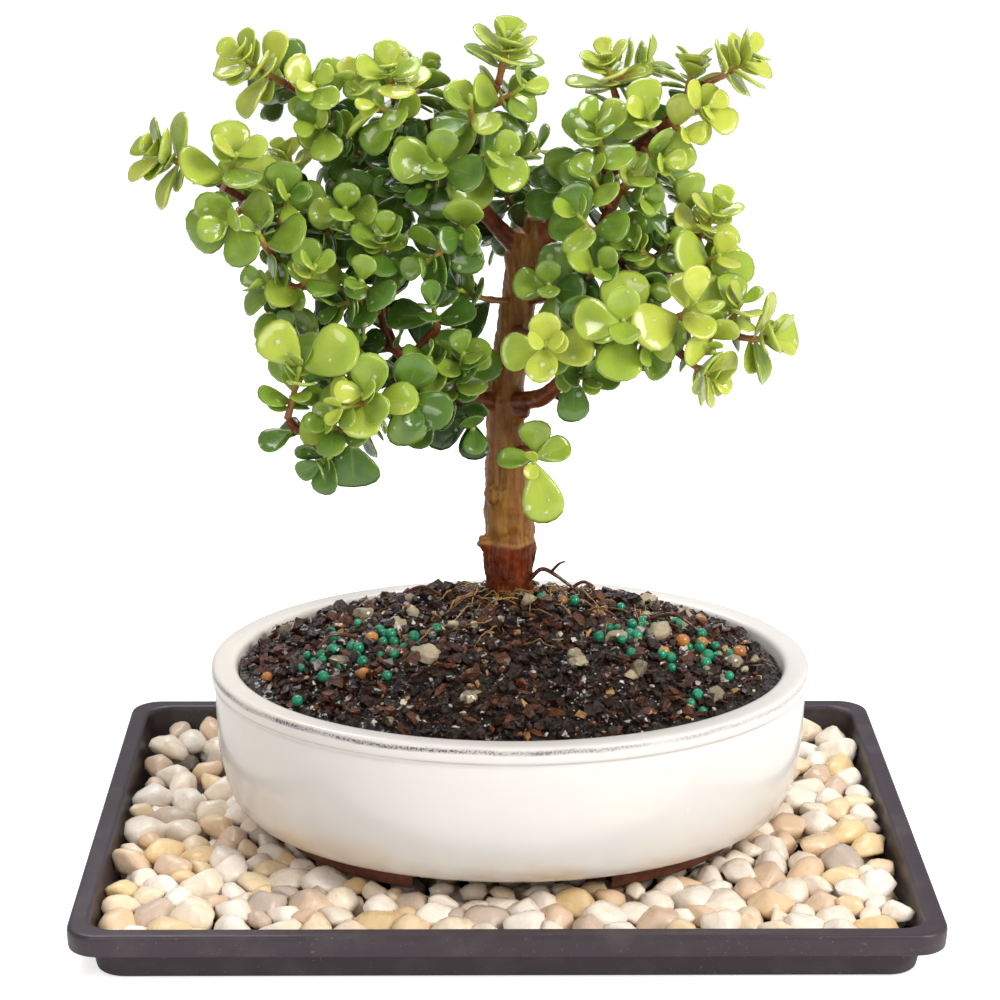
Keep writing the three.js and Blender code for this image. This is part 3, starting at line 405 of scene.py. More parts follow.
class Wiring:
    """Nodes of one material or one group, added and linked by short calls."""

    def __init__(self, tree: bpy.types.NodeTree) -> None:
        """Takes a node tree in hand."""
        self.tree = tree

    def add(self, kind: str, inputs: dict[Any, Any] | None = None, **settings: Any) -> bpy.types.Node:
        """Adds a node.

        Args:
            kind: The node's type, without its Shader prefix.
            inputs: Values or sockets for its inputs, by name or number.
            settings: The node's own settings.

        Returns:
            The node.
        """
        is_end = kind in ("NodeGroupInput", "NodeGroupOutput")
        node = self.tree.nodes.new(kind if is_end else "Shader" + kind)
        for name, value in settings.items():
            setattr(node, name, value)
        for name, value in (inputs or {}).items():
            if isinstance(value, Socket):
                self.tree.links.new(value, node.inputs[name])
            else:
                node.inputs[name].default_value = value
        return node

    def math(self, operation: str, *values: Any, clamp: bool = False) -> Socket:
        """Adds a Math node and returns its result."""
        inputs = dict(enumerate(values))
        return self.add("NodeMath", inputs, operation=operation, use_clamp=clamp).outputs[0]

    def times(self, first: Any, second: Any, plus: Any = None, clamp: bool = False) -> Socket:
        """Multiplies two values, and may add a third."""
        if plus is None:
            return self.math("MULTIPLY", first, second, clamp=clamp)
        return self.math("MULTIPLY_ADD", first, second, plus, clamp=clamp)

    def plus(self, first: Any, second: Any, clamp: bool = False) -> Socket:
        """Adds two values."""
        return self.math("ADD", first, second, clamp=clamp)

    def blend(self, factor: Any, first: Any, second: Any) -> Socket:
        """Mixes two colours and returns the result."""
        return self.add("NodeMix", {0: factor, 6: first, 7: second}, data_type="RGBA").outputs[2]

    def span(self, value: Any, low: float, high: float, start: float = 0.0, end: float = 1.0) -> Socket:
        """Maps a value from low and high to start and end, smoothly and within them."""
        inputs = {0: value, 1: low, 2: high, 3: start, 4: end}
        return self.add("NodeMapRange", inputs, interpolation_type="SMOOTHSTEP").outputs[0]

    def band(self, value: Any, low: float, high: float, soft: float) -> Socket:
        """Gives 1 between low and high and 0 outside them, over a soft edge."""
        above = self.span(value, low - soft, low + soft)
        return self.times(above, self.span(value, high - soft, high + soft, 1.0, 0.0))

    def ramp(self, value: Any, *stops: tuple[float, Colour]) -> Socket:
        """Gives a colour along a row of stops."""
        node = self.add("NodeValToRGB", {0: value})
        known = node.color_ramp.elements
        for index, (place, colour) in enumerate(stops):
            stop = known[index] if index < len(known) else known.new(place)
            stop.position, stop.color = place, colour
        return node.outputs[0]

    def mark(self, name: str) -> Socket:
        """Reads a value that the mesh carries."""
        return self.add("NodeAttribute", attribute_name=name).outputs["Fac"]

    def axes(self, vector: Socket) -> Any:
        """Takes coordinates apart and returns the three."""
        return self.add("NodeSeparateXYZ", {0: vector}).outputs

    def stretch(self, vector: Socket, scale: Place) -> Socket:
        """Scales coordinates by axis."""
        return self.add("NodeMapping", {"Vector": vector, "Scale": scale}).outputs[0]

    def noise(self, vector: Socket, scale: float, detail: float = 3.0, rough: float = 0.5) -> Socket:
        """Gives cloudy noise between 0 and 1."""
        inputs = {"Vector": vector, "Scale": scale, "Detail": detail, "Roughness": rough}
        return self.add("NodeTexNoise", inputs).outputs[0]

    def bump(self, height: Socket, depth: float, strength: float = 1.0) -> Socket:
        """Turns a height of 0 to 1, which stands out by a depth in millimetres, into a normal."""
        inputs = {"Height": height, "Distance": depth * MM, "Strength": strength}
        return self.add("NodeBump", inputs).outputs[0]

    def group(self, tree: bpy.types.NodeTree, inputs: dict[str, Any]) -> Any:
        """Places a shared group and returns its outputs."""
        return self.add("NodeGroup", inputs, node_tree=tree).outputs


class Groups:
    """Effects that more than one material uses, each a node group that is built once."""

    @staticmethod
    def start(name: str, inputs: dict[str, str], outputs: dict[str, str]) -> tuple[Wiring, Any, Any]:
        """Makes an empty group with its sockets.

        Args:
            name: The group's name.
            inputs: Socket kinds by name: Float, Color or Vector.
            outputs: The same for what it gives.

        Returns:
            The group's wiring, its input node's outputs and its output node's inputs.
        """
        tree = bpy.data.node_groups.new(name, "ShaderNodeTree")
        for way, sockets in (("INPUT", inputs), ("OUTPUT", outputs)):
            for label, kind in sockets.items():
                tree.interface.new_socket(name=label, in_out=way, socket_type="NodeSocket" + kind)
        net = Wiring(tree)
        return net, net.add("NodeGroupInput").outputs, net.add("NodeGroupOutput").inputs

    @staticmethod
    def mottle() -> bpy.types.NodeTree:
        """Blotches of two colours, with the mask they follow."""
        net, given, gives = Groups.start(
            "mottle",
            {"Vector": "Vector", "Scale": "Float", "Contrast": "Float", "First": "Color", "Second": "Color"},
            {"Color": "Color", "Mask": "Float"},
        )
        cloud = net.add("NodeTexNoise", {
            "Vector": given["Vector"], "Scale": given["Scale"], "Detail": 4.0, "Roughness": 0.6})
        spread = net.math("SUBTRACT", cloud.outputs[0], 0.5)
        spread = net.times(spread, given["Contrast"])
        mask = net.plus(spread, 0.5, clamp=True)
        net.tree.links.new(mask, gives["Mask"])
        net.tree.links.new(net.blend(mask, given["First"], given["Second"]), gives["Color"])
        return net.tree

    @staticmethod
    def droplets() -> bpy.types.NodeTree:
        """Water droplets that lie here and there: their mask and their height."""
        net, given, gives = Groups.start(
            "droplets", {"Vector": "Vector", "Scale": "Float", "Share": "Float"},
            {"Mask": "Float", "Height": "Float"},
        )
        cells = net.add("NodeTexVoronoi", {
            "Vector": given["Vector"], "Scale": given["Scale"], "Randomness": 1.0})
        size = net.add("NodeSeparateColor", {0: cells.outputs["Color"]})
        present = net.math("LESS_THAN", size.outputs[0], given["Share"])
        radius = net.times(size.outputs[1], 0.26, 0.12)
        share = net.math("DIVIDE", cells.outputs["Distance"], radius)
        dome = net.math("SUBTRACT", 1.0, net.times(share, share), clamp=True)
        height = net.times(net.math("SQRT", dome), present)
        net.tree.links.new(height, gives["Height"])
        net.tree.links.new(net.math("GREATER_THAN", height, 0.02), gives["Mask"])
        return net.tree


class Palette:
    """The shared groups, built once."""

    def __init__(self) -> None:
        """Builds the groups."""
        self.mottle = Groups.mottle()
        self.droplets = Groups.droplets()

    def blotch(self, net: Wiring, place: Socket, grain: Pair, first: Colour, second: Colour) -> Socket:
        """Places the mottle group.

        Args:
            net: The material's wiring.
            place: Object coordinates.
            grain: How fine and how strong the blotches are.
            first: One colour.
            second: The other.

        Returns:
            The blotched colour.
        """
        return net.group(self.mottle, {
            "Vector": place, "Scale": grain[0], "Contrast": grain[1], "First": first, "Second": second,
        })["Color"]


class Finish:
    """A material, which each finish wires up in its own way."""

    NAME = ""

    def name(self) -> str:
        """Returns the material's name."""
        return self.NAME

    def wire(self, net: Wiring, place: Socket, palette: Palette) -> dict[str, Any]:
        """Adds the finish's nodes.

        Args:
            net: The material's wiring.
            place: Object coordinates, in metres.
            palette: The shared groups.

        Returns:
            Values and sockets for the surface shader.
        """
        raise NotImplementedError

    def build(self, palette: Palette) -> Material:
        """Makes the material and returns it."""
        material = bpy.data.materials.new(self.name())
        material.use_nodes = True
        material.node_tree.nodes.clear()
        net = Wiring(material.node_tree)
        place = net.add("NodeTexCoord").outputs["Object"]
        surface = net.add("NodeBsdfPrincipled", self.wire(net, place, palette))
        net.add("NodeOutputMaterial", {"Surface": surface.outputs[0]})
        return material


@dataclass(frozen=True)
class LeafFinish(Finish):
    """Glossy plump leaves: fresh ones yellow-green, old ones dark, all with paler rims and droplets.

    Their age also carries painted shade and painted light, and the midline crease and the droplets carry
    painted highlights.
    """

    NAME = "jade_leaf"

    fresh: Colour = ink("bfc950")
    light: Colour = ink("9ab33e")
    grown: Colour = ink("577d29")
    old: Colour = ink("244212")
    rim: Colour = ink("cbd588")
    under: Colour = ink("83994a")
    # Near-white painted highlight on the droplets.
    drop: Colour = ink("f1f4d8")

    def wire(self, net: Wiring, place: Socket, palette: Palette) -> dict[str, Any]:
        """Adds the nodes, which read age, tone, rim, under and the leaf's own UV map."""
        cloud = net.noise(place, 130, 3)
        tone = net.times(net.mark("tone"), 0.13)
        blot = net.times(net.math("SUBTRACT", cloud, 0.5), 0.35)
        # The age mark carries painted shade inside the crown and painted light towards its right, beside each
        # leaf's own age.
        age = net.plus(net.plus(net.mark("age"), tone), blot, clamp=True)
        colour = net.ramp(
            age, (0.0, self.fresh), (0.3, self.light), (0.66, self.grown), (1.0, self.old))
        colour = net.blend(net.times(net.mark("under"), 0.35), colour, self.under)
        uv = net.add("NodeUVMap", uv_map="pattern").outputs[0]
        across = net.axes(uv)
        off_middle = net.math("ABSOLUTE", across[0])
        # Painted highlight: a faint pale line along the midline fold, fading towards the tip.
        crease_highlight = net.span(off_middle, 0.0, 0.035, 0.12, 0.0)
        crease_highlight = net.times(crease_highlight, net.span(across[1], 0.5, 0.9, 1.0, 0.0))
        colour = net.blend(crease_highlight, colour, self.rim)
        stalk = net.span(across[1], 0.02, 0.2, 0.5, 0.0)
        colour = net.blend(stalk, colour, self.rim)
        edge = net.span(net.mark("rim"), 0.75, 1.0, 0.0, 0.6)
        colour = net.blend(edge, colour, self.rim)
        wet = net.group(palette.droplets, {"Vector": place, "Scale": 300.0, "Share": 0.24})
        grain = net.noise(place, 1500, 2)
        height = net.times(grain, 0.05, wet["Height"])
        # Painted highlight: where droplets lie, the colour is tinted towards near-white.
        colour = net.blend(net.times(wet["Mask"], 0.3), colour, self.drop)
        rough = net.span(cloud, 0.3, 0.7, 0.2, 0.32)
        rough = net.times(rough, net.times(wet["Mask"], -0.8, 1.0))
        return {
            "Base Color": colour,
            "Roughness": rough,
            "Normal": net.bump(height, 0.6, 0.8),
            "Subsurface Weight": 0.08,
            "Subsurface Radius": (0.5, 1.0, 0.15),
            "Subsurface Scale": 0.0012,
            "Specular IOR Level": 0.35,
            "Coat Weight": 0.5,
            "Coat Roughness": 0.09,
        }


@dataclass(frozen=True)
class ShootFinish(Finish):
    """Young stems: green at the tip, then orange-brown towards the wood."""

    NAME = "green_shoot"

    tip: Colour = ink("9db347")
    middle: Colour = ink("a9793c")
    base: Colour = ink("8b4c2a")

    def wire(self, net: Wiring, place: Socket, palette: Palette) -> dict[str, Any]:
        """Adds the nodes, which read age along each stem."""
        blot = net.times(net.math("SUBTRACT", net.noise(place, 420, 3), 0.5), 0.5)
        age = net.plus(net.mark("age"), blot, clamp=True)
        colour = net.ramp(age, (0.0, self.tip), (0.45, self.middle), (1.0, self.base))
        return {
            "Base Color": colour,
            "Roughness": net.span(blot, -0.1, 0.1, 0.3, 0.45),
            "Normal": net.bump(net.noise(place, 1100, 3), 0.15, 0.7),
            "Coat Weight": 0.2,
            "Coat Roughness": 0.2,
        }


@dataclass(frozen=True)
class BarkFinish(Finish):
    """Wood: glossy red-brown limbs, a tan trunk with upright streaks, and rough bark below its scar."""

    NAME = "bark"

    limb: Colour = ink("8a4318")
    limb_dark: Colour = ink("431a08")
    tan: Colour = ink("9c6f2a")
    brown: Colour = ink("57300f")
    foot: Colour = ink("87390f")
    foot_dark: Colour = ink("321204")
    scar: Colour = ink("b39a58")
    scar_height: Pair = (0.1098, 0.1108)

    def wire(self, net: Wiring, place: Socket, palette: Palette) -> dict[str, Any]:
        """Adds the nodes, which read girth, 0 on thin limbs and 1 on the trunk."""
        upright = net.stretch(place, (1.0, 1.0, 0.09))
        streak = net.noise(upright, 700, 4, 0.65)
        broad = net.noise(upright, 190, 3)
        trunk = net.ramp(streak, (0.28, self.brown), (0.62, self.tan))
        trunk = net.blend(net.span(broad, 0.35, 0.8, 0.0, 0.6), trunk, self.limb)
        smear = net.noise(net.stretch(place, (0.5, 0.5, 1.0)), 90, 3)
        trunk = net.blend(net.span(smear, 0.5, 0.75, 0.0, 0.45), trunk, self.brown)
        limb = palette.blotch(net, place, (260.0, 2.2), self.limb_dark, self.limb)
        girth = net.mark("girth")
        colour = net.blend(net.span(girth, 0.25, 0.8), limb, trunk)
        height = net.axes(place)[2]
        wobble = net.times(net.noise(place, 120, 2), 0.003, -0.0015)
        level = net.plus(height, wobble)
        rough_foot = net.ramp(
            net.noise(upright, 480, 5, 0.7), (0.35, self.foot_dark), (0.62, self.foot))
        below = net.span(level, self.scar_height[0] - 0.001, self.scar_height[0] + 0.001, 1.0, 0.0)
        colour = net.blend(below, colour, rough_foot)
        lip = net.band(level, *self.scar_height, 0.0008)
        colour = net.blend(net.times(lip, 0.3), colour, self.scar)
        fibres = net.times(net.noise(upright, 900, 5, 0.75), net.plus(below, 0.25))
        knots = net.times(net.noise(place, 300, 4), 0.5, fibres)
        gloss = net.span(girth, 0.2, 0.9, 0.26, 0.42)
        gloss = net.plus(gloss, net.times(streak, 0.15))
        return {
            "Base Color": colour,
            "Roughness": gloss,
            "Normal": net.bump(knots, 0.9, 0.8),
            "Specular IOR Level": 0.3,
            "Coat Weight": 0.1,
            "Coat Roughness": 0.15,
        }


@dataclass(frozen=True)
class GlazeFinish(Finish):
    """Cream-white glaze that breaks grey-brown on the lip's edge, over bare red-brown feet.

    Painted shade tints it beige towards the foot and the left end, lays a grey-lilac line in the groove under
    the lip, and fades the lip's specks and that line towards the lit right end.
    """

    NAME = "pot_glaze"

    glaze: Colour = ink("e6e3dd")
    cool: Colour = ink("dddbdc")
    # Beige of the painted warm shade near the foot and at the left end.
    warm_shade_beige: Colour = ink("dcc09a")
    speck: Colour = ink("54434c")
    groove: Colour = ink("8d8899")
    # Grey-lilac painted shade in the groove under the lip.
    clay: Colour = ink("935a45")
    clay_dark: Colour = ink("643a2c")
    centre: Pair = (0.002, -0.001)
    half: Pair = (0.10225, 0.084)
    glaze_edge: float = 0.0209
    lip_edge: Pair = (0.0717, 0.0731)
    groove_level: float = 0.0677

    def wire(self, net: Wiring, place: Socket, palette: Palette) -> dict[str, Any]:
        """Adds the nodes."""
        axes = net.axes(place)
        height = axes[2]
        colour = palette.blotch(net, place, (26.0, 1.6), self.glaze, self.cool)
        drift = net.noise(place, 45, 4)
        # Painted warm shade: blotches of beige towards the foot, and more towards the left end.
        low = net.times(net.span(height, 0.021, 0.040, 1.0, 0.0), net.span(drift, 0.35, 0.65))
        left_warm_shade = net.span(axes[0], -0.1, -0.02, 0.16, 0.0)
        colour = net.blend(net.times(low, 0.75, left_warm_shade), colour, self.warm_shade_beige)
        shares = [net.math("DIVIDE", net.math("SUBTRACT", axes[k], self.centre[k]), self.half[k])
                  for k in (0, 1)]
        reach = net.math("SQRT", net.plus(net.times(shares[0], shares[0]), net.times(shares[1], shares[1])))
        outside = net.span(reach, 0.985, 0.992)
        wander = net.times(net.noise(place, 60, 3), 0.0016, -0.0008)
        level = net.plus(height, wander)
        grit = net.span(net.noise(place, 1400, 3, 0.7), 0.46, 0.56)
        # Painted shade: the lip's specks and the groove line are drawn full strength on the left and fainter
        # towards the lit right end; the noise adds random patchiness.
        side = net.span(axes[0], -0.02, 0.06, 1.0, 0.45)
        patch = net.times(side, net.span(net.noise(place, 55, 2), 0.35, 0.6, 0.6, 1.0))
        speck = net.times(net.band(level, *self.lip_edge, 0.0005), outside)
        speck = net.times(net.times(speck, patch), net.span(grit, 0, 1, 0.5, 1.0))
        colour = net.blend(speck, colour, self.speck)
        # Painted shade: a grey-lilac line in the groove under the lip.
        groove = net.band(level, self.groove_level - 0.0008, self.groove_level + 0.0004, 0.0008)
        groove = net.times(net.times(groove, outside), patch)
        colour = net.blend(groove, colour, self.groove)
        pits = net.add("NodeTexVoronoi", {"Vector": place, "Scale": 95.0})
        chance = net.add("NodeSeparateColor", {0: pits.outputs["Color"]}).outputs[0]
        pit_here = net.math("LESS_THAN", chance, 0.3)
        pit = net.times(net.span(pits.outputs["Distance"], 0.02, 0.05, 1.0, 0.0), pit_here)
        colour = net.blend(net.times(pit, 0.6), colour, self.speck)
        clay = palette.blotch(net, place, (180.0, 2.5), self.clay_dark, self.clay)
        ragged = net.times(net.noise(place, 150, 3), 0.0012, -0.0006)
        bare = net.math("LESS_THAN", net.plus(height, ragged), self.glaze_edge)
        colour = net.blend(bare, colour, clay)
        gloss = net.times(net.noise(place, 300, 3), 0.1, 0.2)
        rough = net.plus(gloss, net.times(bare, 0.55))
        dents = net.math("SUBTRACT", net.times(net.noise(place, 40, 2), 1.0), pit)
        grain = net.times(net.noise(place, 2200, 3), net.times(bare, 0.6, 0.02))
        return {
            "Base Color": colour,
            "Roughness": rough,
            "Normal": net.bump(net.plus(dents, grain), 0.35, 0.6),
            "Coat Weight": net.math("SUBTRACT", 0.3, net.times(bare, 0.3)),
            "Coat Roughness": 0.1,
        }


@dataclass(frozen=True)
class TrayFinish(Finish):
    """Moulded dark plastic: purple-brown and satin, painted darker and browner within the walls as shade,
    with dust in places.
    """

    NAME = "tray_plastic"

    outside: Colour = ink("352a34")
    # The same plastic in painted shade within the walls, darker and browner.
    inside: Colour = ink("2b2120")
    dust: Colour = ink("8d857f")

    def wire(self, net: Wiring, place: Socket, palette: Palette) -> dict[str, Any]:
        """Adds the nodes, which read inside, 1 within the walls."""
        wall = net.math("SUBTRACT", 1.0, net.mark("inside"))
        cloud = net.noise(place, 70, 4)
        # Painted shade: within the walls the plastic is painted darker and browner.
        colour = net.blend(wall, self.inside, self.outside)
        colour = net.blend(net.span(cloud, 0.45, 0.8, 0.0, 0.12), colour, self.dust)
        specks = net.span(net.noise(place, 900, 2), 0.68, 0.74, 0.0, 0.25)
        colour = net.blend(specks, colour, self.dust)
        scuffs = net.noise(net.stretch(place, (0.15, 1.0, 1.0)), 1600, 2)
        return {
            "Base Color": colour,
            "Roughness": net.span(cloud, 0.3, 0.7, 0.36, 0.5),
            "Normal": net.bump(net.plus(scuffs, net.noise(place, 30, 1)), 0.06, 0.6),
        }


@dataclass(frozen=True)
class PebbleFinish(Finish):
    """Worn river pebbles: white, cream, yellow, pink and grey, with veins and a faint polish."""

    NAME = "pebbles"

    white: Colour = ink("f3ece2")
    cream: Colour = ink("eee0cb")
    yellow: Colour = ink("e8cd9a")
    pink: Colour = ink("e2c6ab")
    grey: Colour = ink("bfb3a7")
    stain: Colour = ink("c08a4c")

    def wire(self, net: Wiring, place: Socket, palette: Palette) -> dict[str, Any]:
        """Adds the nodes, which read tone, from 0 to 1."""
        tone = net.mark("tone")
        away = net.add("NodeCombineXYZ", {0: tone, 1: tone, 2: tone}).outputs[0]
        shift = net.add("NodeVectorMath", {0: place, 1: away}, operation="ADD").outputs[0]
        cloud = net.noise(shift, 120, 4, 0.6)
        tone = net.plus(tone, net.times(cloud, 0.16, -0.08), clamp=True)
        colours = (self.white, self.cream, self.yellow, self.pink, self.grey)
        colour = net.ramp(tone, *zip((0.0, 0.42, 0.66, 0.82, 0.97), colours))
        vein = net.math("ABSOLUTE", net.math("SUBTRACT", net.noise(shift, 85, 3), 0.5))
        colour = net.blend(net.span(vein, 0.0, 0.04, 0.12, 0.0), colour, self.stain)
        stain = net.span(net.noise(shift, 130, 5, 0.7), 0.54, 0.8, 0.0, 0.45)
        colour = net.blend(stain, colour, self.stain)
        grain = net.noise(shift, 900, 4)
        dents = net.times(net.noise(shift, 190, 3), 1.0, net.times(grain, 0.2))
        return {
            "Base Color": colour,
            "Roughness": net.span(cloud, 0.3, 0.7, 0.22, 0.42),
            "Normal": net.bump(dents, 0.8, 0.7),
            "Subsurface Weight": 0.1,
            "Subsurface Radius": (1.0, 0.8, 0.6),
            "Subsurface Scale": 0.001,
        }


class Grain(Enum):
    """What lies in the soil, each with its range of colours from dark to light and its roughness."""

    PEAT = ("070201", "341a0b", 0.72)
    BARK = ("180803", "6e3a1a", 0.52)
    CHIP = ("5e3418", "cfa266", 0.5)
    GRIT = ("988e80", "e6ddcd", 0.4)
    STONE = ("3a2d1c", "cdbf9f", 0.45)
    GREEN_BEAD = ("0b6b4a", "17a076", 0.22)
    ORANGE_BEAD = ("a8632a", "d09548", 0.35)
    ROOT = ("7a5428", "bb9350", 0.55)


@dataclass(frozen=True)
class GrainFinish(Finish):
    """One kind of thing in the soil, moist and mottled."""

    grain: Grain

    def name(self) -> str:
        """Returns the material's name."""
        return "soil_" + self.grain.name.lower()

    def wire(self, net: Wiring, place: Socket, palette: Palette) -> dict[str, Any]:
        """Adds the nodes, which read tone, from 0 to 1."""
        dark, light, rough = self.grain.value
        cloud = net.noise(place, 500, 4, 0.7)
        tone = net.times(cloud, 0.7, net.times(net.mark("tone"), 0.7, -0.2), clamp=True)
        wet = net.span(net.noise(place, 700, 2), 0.44, 0.52)
        return {
            "Base Color": net.blend(tone, ink(dark), ink(light)),
            "Roughness": net.times(wet, -0.6 * rough, rough),
            "Normal": net.bump(net.noise(place, 1100, 4, 0.75), 0.55, 0.8),
            "Specular IOR Level": 0.3,
            "Coat Weight": wet,
            "Coat Roughness": 0.12,
        }


@dataclass(frozen=True)
class ScreenFinish(Finish):
    """Dark plastic of the drain screens."""

    NAME = "screen_plastic"

    plastic: Colour = ink("23282b")
    worn: Colour = ink("3c4245")

    def wire(self, net: Wiring, place: Socket, palette: Palette) -> dict[str, Any]:
        """Adds the nodes."""
        body = palette.blotch(net, place, (300.0, 2.0), self.plastic, self.worn)
        return {
            "Base Color": body,
            "Roughness": 0.55,
            "Normal": net.bump(net.noise(place, 1800, 2), 0.05, 0.5),
        }


@dataclass(frozen=True)
class FloorFinish(Finish):
    """Plain pale floor, which looks as pale far off as under the lights."""

    NAME = "floor"

    colour: Colour = ink("fbfbfa")
    lift: float = 0.62

    def wire(self, net: Wiring, place: Socket, palette: Palette) -> dict[str, Any]:
        """Adds the nodes."""
        seen = net.add("NodeLightPath").outputs["Is Camera Ray"]
        return {
            "Base Color": self.colour,
            "Roughness": 0.9,
            "Specular IOR Level": 0.1,
            "Emission Color": self.colour,
            "Emission Strength": net.times(seen, self.lift),
        }


# Tray
@dataclass
class Tray:
    """Moulded humidity tray: drafted walls and a flange that is rolled round the rim."""

    length: float = 280
    width: float = 206
    height: float = 18
    corner: float = 9
    flange: float = 7.3
    floor: float = 2
    wall: Pair = (6.8, 10.2)

    def outline(self) -> Outline:
        """Returns the tray's outline."""
        return Outline((0, 0), self.length, self.width, self.corner, 8)

    def profile(self) -> list[Pair]:
        """Returns insets and heights from the underside, over the rim, to the floor inside."""
        top, under = self.height, self.height - self.flange
        steps = [(self.wall[1] + 1.4, 0.6), (9.8, 0.0), (9.3, 0.0)]
        steps += curve(steps[-1], (8.3, 0.0), (8.1, 1.4), 3)
        steps += [(7.4, 5.5), (7.0, under - 0.9)]
        steps += curve(steps[-1], (6.9, under), (6.2, under), 2)
        steps += [(1.5, under), (0.5, under + 0.1)]
        steps += curve(steps[-1], (0.25, under + 0.15), (0.25, under + 0.7), 2)
        steps += [(0.1, 14.0), (0.0, top - 1.6)]
        steps += curve(steps[-1], (0.0, top), (1.5, top), 4)
        steps += [(3.2, top - 0.12), (4.9, top)]
        steps += curve(steps[-1], (6.4, top), (self.wall[0], top - 1.8), 4)
        steps += [(8.0, 11.6), (9.4, 6.2), (self.wall[1], self.floor + 1.4)]
        steps += curve(steps[-1], (10.5, self.floor), (12.0, self.floor), 3)
        return steps

    def wall_inset(self, height: float) -> float:
        """Returns how far the inner wall stands in at a height."""
        share = (self.height - 1.6 - height) / (self.height - self.floor - 2.8)
        return self.wall[0] + (self.wall[1] - self.wall[0]) * min(max(share, 0), 1)

    def build(self, material: Material) -> Thing:
        """Models the tray, dresses it and hands it over."""
        tray = self.outline().solid(self.profile())
        Bench.dress(tray, material, 50)
        # Marks the inner walls and floor, which the tray's finish paints in shade.
        inward = [
            float((vertex.co.xy.dot(vertex.normal.xy) < -10 and vertex.co.z < self.height - 1.5)
                  or (vertex.normal.z > 0.5 and vertex.co.z < self.height / 2))
            for vertex in tray.data.vertices
        ]
        Bench.mark(tray, "inside", inward)
        return hand_over(tray, "humidity_tray", ["tray"])


# Pot
@dataclass
class Pot:
    """Oval glazed pot with a rounded belly, a lip with a groove under it, and four bare feet."""

    centre: Pair = (2, -1)
    length: float = 204.5
    width: float = 168
    foot: float = 13.3
    floor: float = 24.6
    rim: float = 74
    foot_height: float = 6.9
    front_notch: float = 66
    end_notch: float = 50
    drain_offset: float = 45
    drain_radius: float = 9

    def outline(self) -> Outline:
        """Returns the pot's outline."""
        return Outline(self.centre, self.length, self.width, None, 112)

    def reach(self, x: float, y: float, inset: float) -> float:
        """Returns how far out a place lies: 1 on the oval that is drawn in by the inset."""
        along = (x - self.centre[0]) / (self.length / 2 - inset)
        across = (y - self.centre[1]) / (self.width / 2 - inset)
        return math.hypot(along, across)

    def profile(self) -> list[Pair]:
        """Returns insets and heights from the underside, over the lip, to the floor inside."""
        foot, rim = self.foot, self.rim
        steps = [(29.0, foot + self.foot_height), (28.7, foot + 1.0)]
        steps += curve(steps[-1], (28.6, foot), (27.6, foot), 3)
        steps += [(25.2, foot), (23.0, foot)]
        steps += curve(steps[-1], (22.0, foot), (21.9, foot + 1.2), 3)
        steps += [(21.8, 18.0), (21.7, 20.2)]
        steps += curve(steps[-1], (21.6, 21.1), (20.4, 21.2), 3)
        steps += curve(steps[-1], (12.2, 21.6), (8.8, 24.6), 7)
        steps += curve(steps[-1], (5.6, 27.6), (4.3, 33.2), 6)
        steps += curve(steps[-1], (2.4, 40.5), (1.6, 48.0), 5)
        steps += [(1.35, 54.0), (1.15, 60.0), (1.0, 66.0)]
        steps += [(1.15, 66.9), (1.3, 67.4), (1.15, 67.9), (0.5, 68.3)]
        steps += curve(steps[-1], (0.0, 68.5), (0.0, 69.4), 2)
        steps += [(0.0, 71.2), (0.05, 72.3)]
        steps += curve(steps[-1], (0.15, rim - 0.1), (1.7, rim), 4)
        steps += [(3.4, rim), (6.2, rim - 0.05)]
        steps += curve(steps[-1], (8.3, rim - 0.1), (8.8, rim - 2.0), 4)
        steps += [(9.4, 66.0), (10.6, 54.0), (12.0, 42.0)]
        steps += curve(steps[-1], (14.0, 31.5), (18.0, 29.0), 4)
        steps += curve(steps[-1], (21.5, self.floor), (30.0, self.floor), 4)
        return steps

    def add_block(self, length: float, width: float, height: float) -> Thing:
        """Adds a block, round-edged, that cuts the foot ring through."""
        block = Bench.add(bpy.ops.mesh.primitive_cube_add, size=1, location=(*self.centre, self.foot))
        Bench.freeze(block, (length, width, 2 * height))
        Bench.apply(block, "BEVEL", width=1.6, segments=4)
        return block

    def add_drill(self, side: int) -> Thing:
        """Adds the cylinder that cuts one drain hole."""
        where = (self.centre[0] + side * self.drain_offset, self.centre[1], (self.foot + self.floor) / 2)
        return Bench.freeze(Bench.add(
            bpy.ops.mesh.primitive_cylinder_add, vertices=36, radius=self.drain_radius,
            depth=self.floor - self.foot + 2, location=where))

    def build(self, material: Material) -> Thing:
        """Models the pot, dresses it and hands it over."""
        pot = self.outline().solid(self.profile())
        notch_height = self.foot_height - 0.2
        Bench.cut(pot, self.add_block(self.front_notch, self.width, notch_height))
        Bench.cut(pot, self.add_block(self.length, self.end_notch, notch_height))
        for side in (-1, 1):
            Bench.cut(pot, self.add_drill(side))
        Bench.dress(pot, material, 42)
        return hand_over(pot, "glazed_pot", ["pot"])


